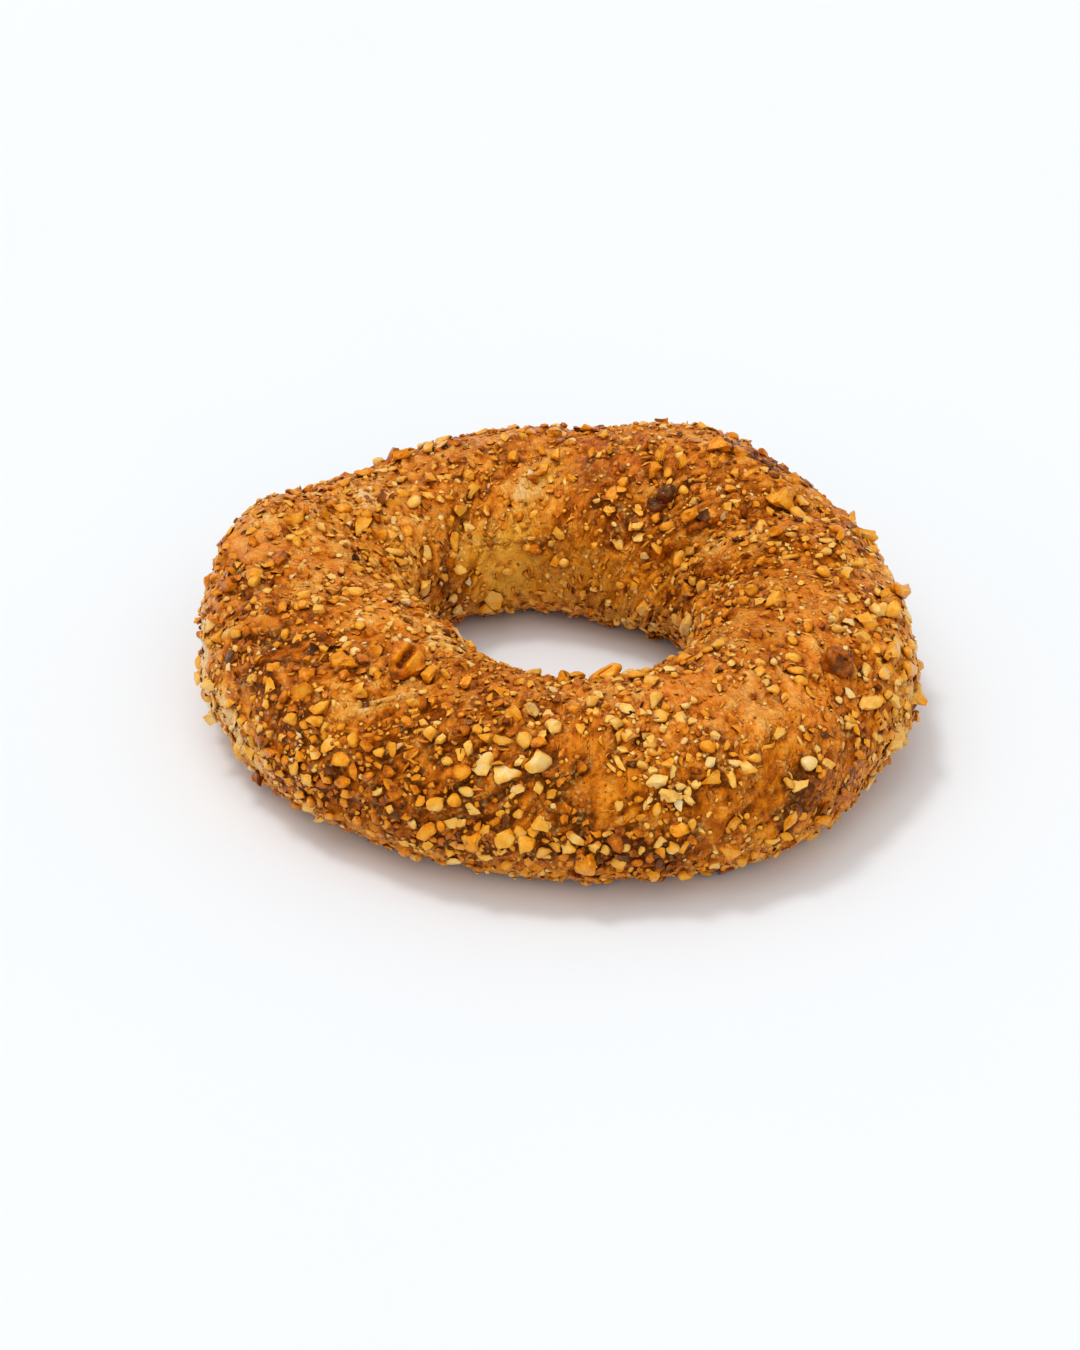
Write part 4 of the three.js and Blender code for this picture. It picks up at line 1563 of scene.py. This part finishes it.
def make_crust(material, large, small):
    """The crust's mesh, drawn up round the large and the small toppings."""
    plain = dough_point(crust_around, crust_section)
    broad = broad_relief(plain)
    fine = fine_relief(plain, crust_around, crust_section)
    large_raised, large_glaze_and_shade = press_toppings(crust_points, large, 0.3, 0.34)
    small_raised, small_glaze_and_shade = press_toppings(crust_points, small, 0.25, 0.2)
    raised_by = np.maximum(large_raised, small_raised) * fading(crust_points, 2.0)
    points = crust_points + crust_normals * raised_by[:, None]
    points[:, 2] = np.maximum(points[:, 2], 0)
    # Browning with painted shade and light, carried to the shader as one attribute.
    browning_and_shade = browning_and_shade_at(plain, broad, fine) + np.maximum(large_glaze_and_shade, small_glaze_and_shade)
    warmth = warmth_at(plain, crust_section)
    piece = make_mesh("crust", points, crust_faces, {"browning_and_shade": browning_and_shade, "warmth": warmth})
    corner_row, corner_column = np.divmod(crust_faces, CRUST_SECTION)
    first_row = corner_row[:, :1]
    first_column = corner_column[:, :1]
    row = first_row + (corner_row - first_row) % CRUST_AROUND
    column = first_column + (corner_column - first_column) % CRUST_SECTION
    share = np.stack([row / CRUST_AROUND, column / CRUST_SECTION], axis=-1)
    add_map(piece, MAP_NAME, share)
    unrolled = 2 * math.pi * np.array([NOMINAL_RADIUS, NOMINAL_HALF_WIDTH])
    add_map(piece, GRAIN_MAP, share * unrolled)
    finish_piece(piece, material, "crust", "bread_ring")


# ---- The toppings ----

# The numbers are in the order of Scatter's fields.
CHIP_PLAN = Scatter(
    0.9, (2.4, 3.4, 5.4), (0.6, 0.95), (0.5, 0.75), (0.15, 0.35), 16, (0.36, 0.1), 0.8, 0.6, 21
)
CHUNK_PLAN = Scatter(
    0.6, (2.6, 3.6, 5.8), (0.55, 0.9), (0.7, 0.95), (0.2, 0.4), 18, (0.48, 0.12), 0.8, 0.6, 22
)
HALF_PLAN = Scatter(
    0.35, (2.2, 2.9, 4.4), (0.6, 0.9), (0.7, 0.95), (0.2, 0.4), 14, (0.44, 0.1), 0.8, 0.6, 23
)
FLAKE_PLAN = Scatter(
    0.32, (2.4, 3.4, 5.4), (0.5, 0.9), (0.14, 0.24), (0.0, 0.3), 16, (0.38, 0.12), 0.5, 0.55, 24
)
PIECE_PLAN = Scatter(
    3.2, (2.2, 2.9, 4.4), (0.5, 0.9), (0.45, 0.75), (0.2, 0.54), 14, (0.45, 0.18), 1.2, 0.55, 40
)
BIT_PLAN = Scatter(
    6.0, (1.2, 1.9, 3.3), (0.5, 0.95), (0.5, 0.9), (0.2, 0.54), 22, (0.48, 0.22), 1.3, 0.45, 25
)
GRAIN_PLAN = Scatter(
    3.0, (1.0, 1.4, 2.2), (0.65, 0.95), (0.6, 0.9), (0.2, 0.54), 18, (0.4, 0.2), 1.6, 0.45, 30
)
CRUMB_PLAN = Scatter(
    9.0, (0.7, 1.05, 1.7), (0.6, 1.0), (0.5, 0.9), (0.15, 0.6), 22, (0.48, 0.2), 1.4, 0.5, 26
)
SKIN_PLAN = Scatter(
    0.45, (1.2, 2.0, 3.2), (0.25, 0.55), (0.12, 0.25), (0.0, 0.3), 28, (0.6, 0.12), 0.6, 0.5, 27
)
SEED_PLAN = Scatter(
    2.3, (0.75, 0.95, 1.3), (0.65, 0.85), (0.65, 0.85), (0.2, 0.45), 10, (0.3, 0.1), 1.8, 0.45, 28
)
SLIVER_PLAN = Scatter(
    2.3, (1.8, 2.8, 4.8), (0.16, 0.3), (0.6, 0.9), (0.15, 0.4), 8, (0.48, 0.13), 1.0, 0.3, 29, 1.6
)


# Balls as x, y, z and radius, the first of them round the middle.
CARAMELISED_LOBES = [
    (0.0, 0.0, -0.1, 0.5), (0.4, 0.0, 0.12, 0.6), (-0.5, 0.02, 0.0, 0.44), (-0.3, 0.55, -0.1, 0.34),
]
RIM_LOBES = [
    (0.0, 0.0, 0.0, 0.64), (-0.46, -0.16, 0.0, 0.64), (0.42, 0.26, 0.12, 0.5), (0.1, -0.4, 0.1, 0.5),
]


def walnut_shape(rng, template):
    """A broken walnut with a trough between two lips, and where it is browner."""
    angular = split_piece(rng, template, 1, 5, 2)
    rounded = rounded_box(rng, template, 1, (2.8, 3.0))
    shape = warped(rng, 0.6 * angular + 0.4 * rounded, 1.7, 0.3)
    trough = furrow_mask(shape, 42, 0.1, 0.2, 0.72)
    near_lip = furrow_mask(shape, 42, 0.44, 0.14, 0.7)
    far_lip = furrow_mask(shape, 42, -0.26, 0.14, 0.6)
    lip = near_lip + 0.7 * far_lip
    side = furrow_mask(shape, 30, -0.7, 0.18, 0.7)
    for mask, amount in ((trough, -0.42), (lip, 0.16), (side, -0.2)):
        shape = raised(shape, mask, amount)
    left = smoothstep(0.15, -0.35, shape[..., 0])
    return roughened(rng, shape, 0.5, 0.08), 0.36 * trough + 0.1 * left + 0.1 * side - 0.1 * lip


def caramelised_shape(rng, template):
    """A folded, pinched lump, and where it is browner; its folds are painted paler as highlights."""
    shape = lobed(template, CARAMELISED_LOBES, 12.0)
    folds = ridges(shape * [1.0, 0.6, 1.0], 0.62, 3)
    pinch = furrow_mask(shape, 100, 0.06, 0.12, 1.2)
    shape = raised(shape * (1 - 0.16 * folds[..., None]), pinch, -0.4)
    # Painted highlights: the folds are paler.
    return roughened(rng, shape, 0.34, 0.14), 0.1 * pinch - 0.3 * folds


def browned_shape(rng, template):
    """A blunt lump with a gritty pit, and where it is browner; its two holes are painted dark as shade."""
    shape = warped(rng, rounded_box(rng, template, 1, (2.6, 2.8)), 1.5, 0.3)
    pit = spot_mask(shape, 0.0, -0.28, 0.36)
    corner = spot_mask(shape, 0.5, 0.45, 0.3)
    holes = spot_mask(shape, -0.1, 0.04, 0.11) + spot_mask(shape, 0.3, -0.06, 0.11)
    shape = raised(raised(shape, pit, -0.2), holes, -0.4)
    grit = ridges(shape, 0.24, 5) * np.clip(pit + corner, 0, 1)
    shape = raised(shape, grit, 0.1)
    # Painted shade: the holes are darker.
    return roughened(rng, shape, 0.6, 0.1), 0.3 * pit + 0.26 * corner + 0.2 * holes - 0.1 * grit


def rim_shape(rng, template):
    """A lobed lump with one fold, and where it is browner; the fold is painted darker as shade."""
    shape = lobed(template, RIM_LOBES, 10.0)
    fold = furrow_mask(shape, 28, 0.12, 0.1, 0.6)
    shape = raised(shape, fold, -0.22)
    # Painted shade: the fold is darker.
    return roughened(rng, shape, 0.6, 0.2), 0.12 * fold


# The four largest nuts: place in the picture, size in millimetres, angle in the picture, share of the
# thickness pressed in, tone, shape and slot. They are the solids of the same names.
NODE_ROWS = [
    ("walnut_chunk", (405, 664), (9.6, 8.4, 6.6), 18, 0.24, 0.58, walnut_shape, "toasted_nut"),
    ("caramelised_nut", (662, 503), (9.4, 6.8, 6.4), 55, 0.34, 0.94, caramelised_shape, "dark_nut"),
    ("browned_nut", (835, 667), (7.4, 6.6, 5.8), -20, 0.26, 0.8, browned_shape, "toasted_nut"),
    ("rim_nut", (610, 678), (7.8, 5.8, 5.4), 18, 0.28, 0.5, rim_shape, "toasted_nut"),
]
NODE_DETAIL = 5
NODE_SEED = 41
NODE_LEAN = 0.25  # how far the four nuts' upper sides are turned to the camera


def make_nodes(materials):
    """The four largest pieces of nut, in place of their solids."""
    for number, (node, pixel, size, angle, pressed, tone, shape_of, slot) in enumerate(NODE_ROWS):
        rng = np.random.default_rng(NODE_SEED + number)
        hit, normal, _ = seen_on_crust(*pixel)
        along, _ = picture_directions(1, 1, angle, CAMERA_DISTANCE)
        out = unit(normal - NODE_LEAN * FORWARD)[None]
        shape, shade = shape_of(rng, BALLS[NODE_DETAIL][0])
        piece = Toppings(
            hit[None],
            out,
            flattened(along[None], out),
            np.array([size]),
            np.array([tone]),
            np.array([pressed]),
        )
        name = node.split("_")[0] + "_piece"
        join_toppings(name, [Batch(NODE_DETAIL, shape, piece, 0.0, shade)], materials[slot], slot, (node,))


def nut_batches(rng, marked, scattered_ones, limit, shape_of):
    """Pieces of one shape: the marked ones over a length get a fine mesh, all others a coarser one."""
    is_long = marked.size[:, 0] > limit
    others = marked.kept(~is_long).joined(scattered_ones)
    batches = []
    for detail, some in ((4, marked.kept(is_long)), (3, others)):
        template = BALLS[detail][0]
        batches.append(Batch(detail, shape_of(rng, template, len(some.place)), some))
    return batches


def chip_shapes(rng, template, count):
    """Thin splinters of nut."""
    shapes = split_piece(rng, template, count, 5, 2)
    shapes = chipped(rng, shapes, template, 3, (0.5, 1.0))
    return roughened(rng, warped(rng, shapes, 1.5, 0.34), 0.6, 0.06)


def chunk_shapes(rng, template, count):
    """Thick, angular pieces of nut."""
    shapes = split_piece(rng, template, count, 4, 4)
    shapes = chipped(rng, shapes, template, 3, (0.45, 0.95))
    return roughened(rng, warped(rng, shapes, 1.4, 0.45), 0.55, 0.1)


def half_shapes(rng, template, count):
    """Rounded halves and whole small nuts."""
    shapes = rounded_box(rng, template, count)
    shapes = chipped(rng, shapes, template, 1, (0.6, 1.0))
    return roughened(rng, warped(rng, shapes, 1.5, 0.3), 0.8, 0.1)


def flake_shapes(rng, template, count):
    return ragged(rng, split_piece(rng, template, count, 5, 1), 0.14)


def bit_shapes(rng, template, count):
    return warped(rng, split_piece(rng, template, count, 4, 3), 1.5, 0.4)


def piece_shapes(rng, template, count):
    return warped(rng, split_piece(rng, template, count, 5, 2), 1.4, 0.4)


def grain_shapes(rng, template, count):
    return warped(rng, rounded_box(rng, template, count), 1.6, 0.3)


def skin_shapes(rng, template, count):
    return ragged(rng, cut_box(rng, template, count, 3, (0.6, 1.0)), 0.25)


def crumb_shapes(rng, template, count):
    return cut_box(rng, template, count, 3, (0.7, 1.0))


def seed_shapes(rng, template, count):
    """Balls made slimmer towards one end, all alike, so that nothing random is drawn."""
    shapes = np.repeat(template[None], count, axis=0)
    shapes[..., 1:] *= 1 - 0.3 * shapes[..., :1]
    return shapes


def place_toppings():
    """Where all the toppings lie, by kind. The ones that keep clear of each other are placed in turn."""
    chips = landmark_toppings(CHIPS, (0.55, 0.8), (0.12, 0.28), 31)
    chunks = landmark_toppings(CHUNKS, (0.7, 1.0), (0.15, 0.3), 32)
    halves = landmark_toppings(HALVES, (0.7, 0.95), (0.15, 0.3), 33)
    flakes = landmark_toppings(FLAKES, (0.16, 0.26), (0.0, 0.15), 34)
    skins = landmark_toppings(SKINS, (0.2, 0.3), (0.0, 0.2), 35)
    proud = proud_toppings(PROUD, (0.3, 0.5), 20.0, 36)

    large = chips.joined(chunks).joined(halves).joined(flakes).joined(proud)
    more = []
    for plan in (CHIP_PLAN, CHUNK_PLAN, HALF_PLAN):
        more.append(scattered(plan, large, hidden_weight))
        large = large.joined(more[-1])
    flakes = flakes.joined(scattered(FLAKE_PLAN, large, nut_weight))
    pieces = scattered(PIECE_PLAN, large.joined(flakes), nut_weight)
    large = large.joined(pieces)
    bits = scattered(BIT_PLAN, large.joined(flakes), nut_weight)
    return {
        "chips": (chips, more[0]),
        "chunks": (chunks, more[1]),
        "halves": (halves, more[2]),
        "proud": proud,
        "large": large,
        "flakes": flakes,
        "pieces": pieces,
        "bits": bits,
        "grains": scattered(GRAIN_PLAN, large.joined(bits), nut_weight),
        "skins": skins.joined(scattered(SKIN_PLAN, large, nut_weight)),
        "crumbs": scattered(CRUMB_PLAN, large.joined(bits), nut_weight),
        "seeds": scattered(SEED_PLAN, large.joined(bits), seed_weight),
        "slivers": scattered(SLIVER_PLAN, large, sliver_weight),
    }


# The kinds that have one shape each: piece, kind, detail of the mesh, shape, curl, material and slot.
PLAIN_KINDS = [
    ("nut_flakes", "flakes", 3, flake_shapes, 0.07, "nut_flake", "toasted_nut"),
    ("nut_bits", "bits", 2, bit_shapes, None, "toasted_nut", "toasted_nut"),
    ("nut_pieces", "pieces", 2, piece_shapes, None, "toasted_nut", "toasted_nut"),
    ("nut_grains", "grains", 2, grain_shapes, None, "toasted_nut", "toasted_nut"),
    ("nut_skins", "skins", 2, skin_shapes, 0.25, "dark_nut", "dark_nut"),
    ("nut_slivers", "slivers", 2, bent_slivers, None, "toasted_nut", "toasted_nut"),
    ("nut_crumbs", "crumbs", 1, crumb_shapes, None, "nut_crumb", "toasted_nut"),
    ("pale_seeds", "seeds", 2, seed_shapes, None, "pale_seed", "seed"),
]
LONG_NUT = 5.8  # pieces longer than this have a finer mesh
SHAPE_SEED = 51


def make_toppings():
    """All the nuts, crumbs, flakes, skins and seeds. Returns the large and the small ones' places."""
    materials = {
        "toasted_nut": nut_material("toasted_nut", 0.65, 0.1, 0.12),
        "nut_crumb": nut_material("nut_crumb", 0.35, 0.06, 0.12),
        "nut_flake": nut_material("nut_flake", 0.1, 0.16, 0.18),
        "pale_seed": nut_material("pale_seed", 0.1, 0.0, 0.16),
        "dark_nut": dark_material(),
    }
    nut = materials["toasted_nut"]
    kinds = place_toppings()
    rng = np.random.default_rng(SHAPE_SEED)
    chips = nut_batches(rng, *kinds["chips"], LONG_NUT, chip_shapes)
    join_toppings("nut_chips", chips, nut, "toasted_nut")
    chunks = nut_batches(rng, *kinds["chunks"], LONG_NUT, chunk_shapes)
    proud = kinds["proud"]
    chunks.append(Batch(3, chunk_shapes(rng, BALLS[3][0], len(proud.place)), proud))
    join_toppings("nut_chunks", chunks, nut, "toasted_nut")
    halves = nut_batches(rng, *kinds["halves"], LONG_NUT, half_shapes)
    join_toppings("nut_halves", halves, nut, "toasted_nut")
    for name, kind, detail, shape_of, curl, material, slot in PLAIN_KINDS:
        toppings = kinds[kind]
        shapes = shape_of(rng, BALLS[detail][0], len(toppings.place))
        rise = curled(rng, shapes, toppings.size, curl) if curl else 0.0
        join_toppings(name, [Batch(detail, shapes, toppings, rise)], materials[material], slot)
    make_nodes(materials)
    return kinds["large"], kinds["bits"].joined(kinds["grains"])


# ---- Floor and light ----

FLOOR_HALF = 4000.0
FLOOR_DROP = 0.02  # keeps the floor just under the bread's flat base
SKY_STRENGTH = 0.56
# Name, place it shines from, its width in degrees and strength.
LIGHTS = [
    ("key", (-0.24, 0.04, 1.0), 50, 0.7),
    ("window", (-0.3, 0.16, 1.0), 12, 0.75),
    ("fill", (0.1, -1.0, 1.0), 60, 0.55),
]


def make_floor():
    corners = FLOOR_HALF * np.array([[-1, -1, 0], [1, -1, 0], [1, 1, 0], [-1, 1, 0]])
    floor = make_mesh("floor", corners, np.array([[0, 1, 2, 3]]), {})
    floor.location.z = -FLOOR_DROP * MM
    floor.data.materials.append(floor_material())


def far_light(name, place, spread, strength):
    """Soft light from far away, shining from a place towards the middle. Spread is its width in degrees."""
    data = bpy.data.lights.new(name, "SUN")
    data.angle = math.radians(spread)
    data.energy = strength
    light = bpy.data.objects.new(name, data)
    light.rotation_euler = (-Vector(place)).to_track_quat("-Z", "Y").to_euler()
    bpy.context.scene.collection.objects.link(light)


def make_lights():
    world = bpy.data.worlds.new("studio")
    world.use_nodes = True
    background = world.node_tree.nodes["Background"]
    background.inputs["Color"].default_value = (1.0, 1.0, 1.0, 1.0)
    background.inputs["Strength"].default_value = SKY_STRENGTH
    bpy.context.scene.world = world
    for light in LIGHTS:
        far_light(*light)


bpy.context.scene.view_settings.view_transform = "Standard"
make_camera()
large_toppings, small_toppings = make_toppings()
make_crust(crust_material(), large_toppings, small_toppings)
make_floor()
make_lights()
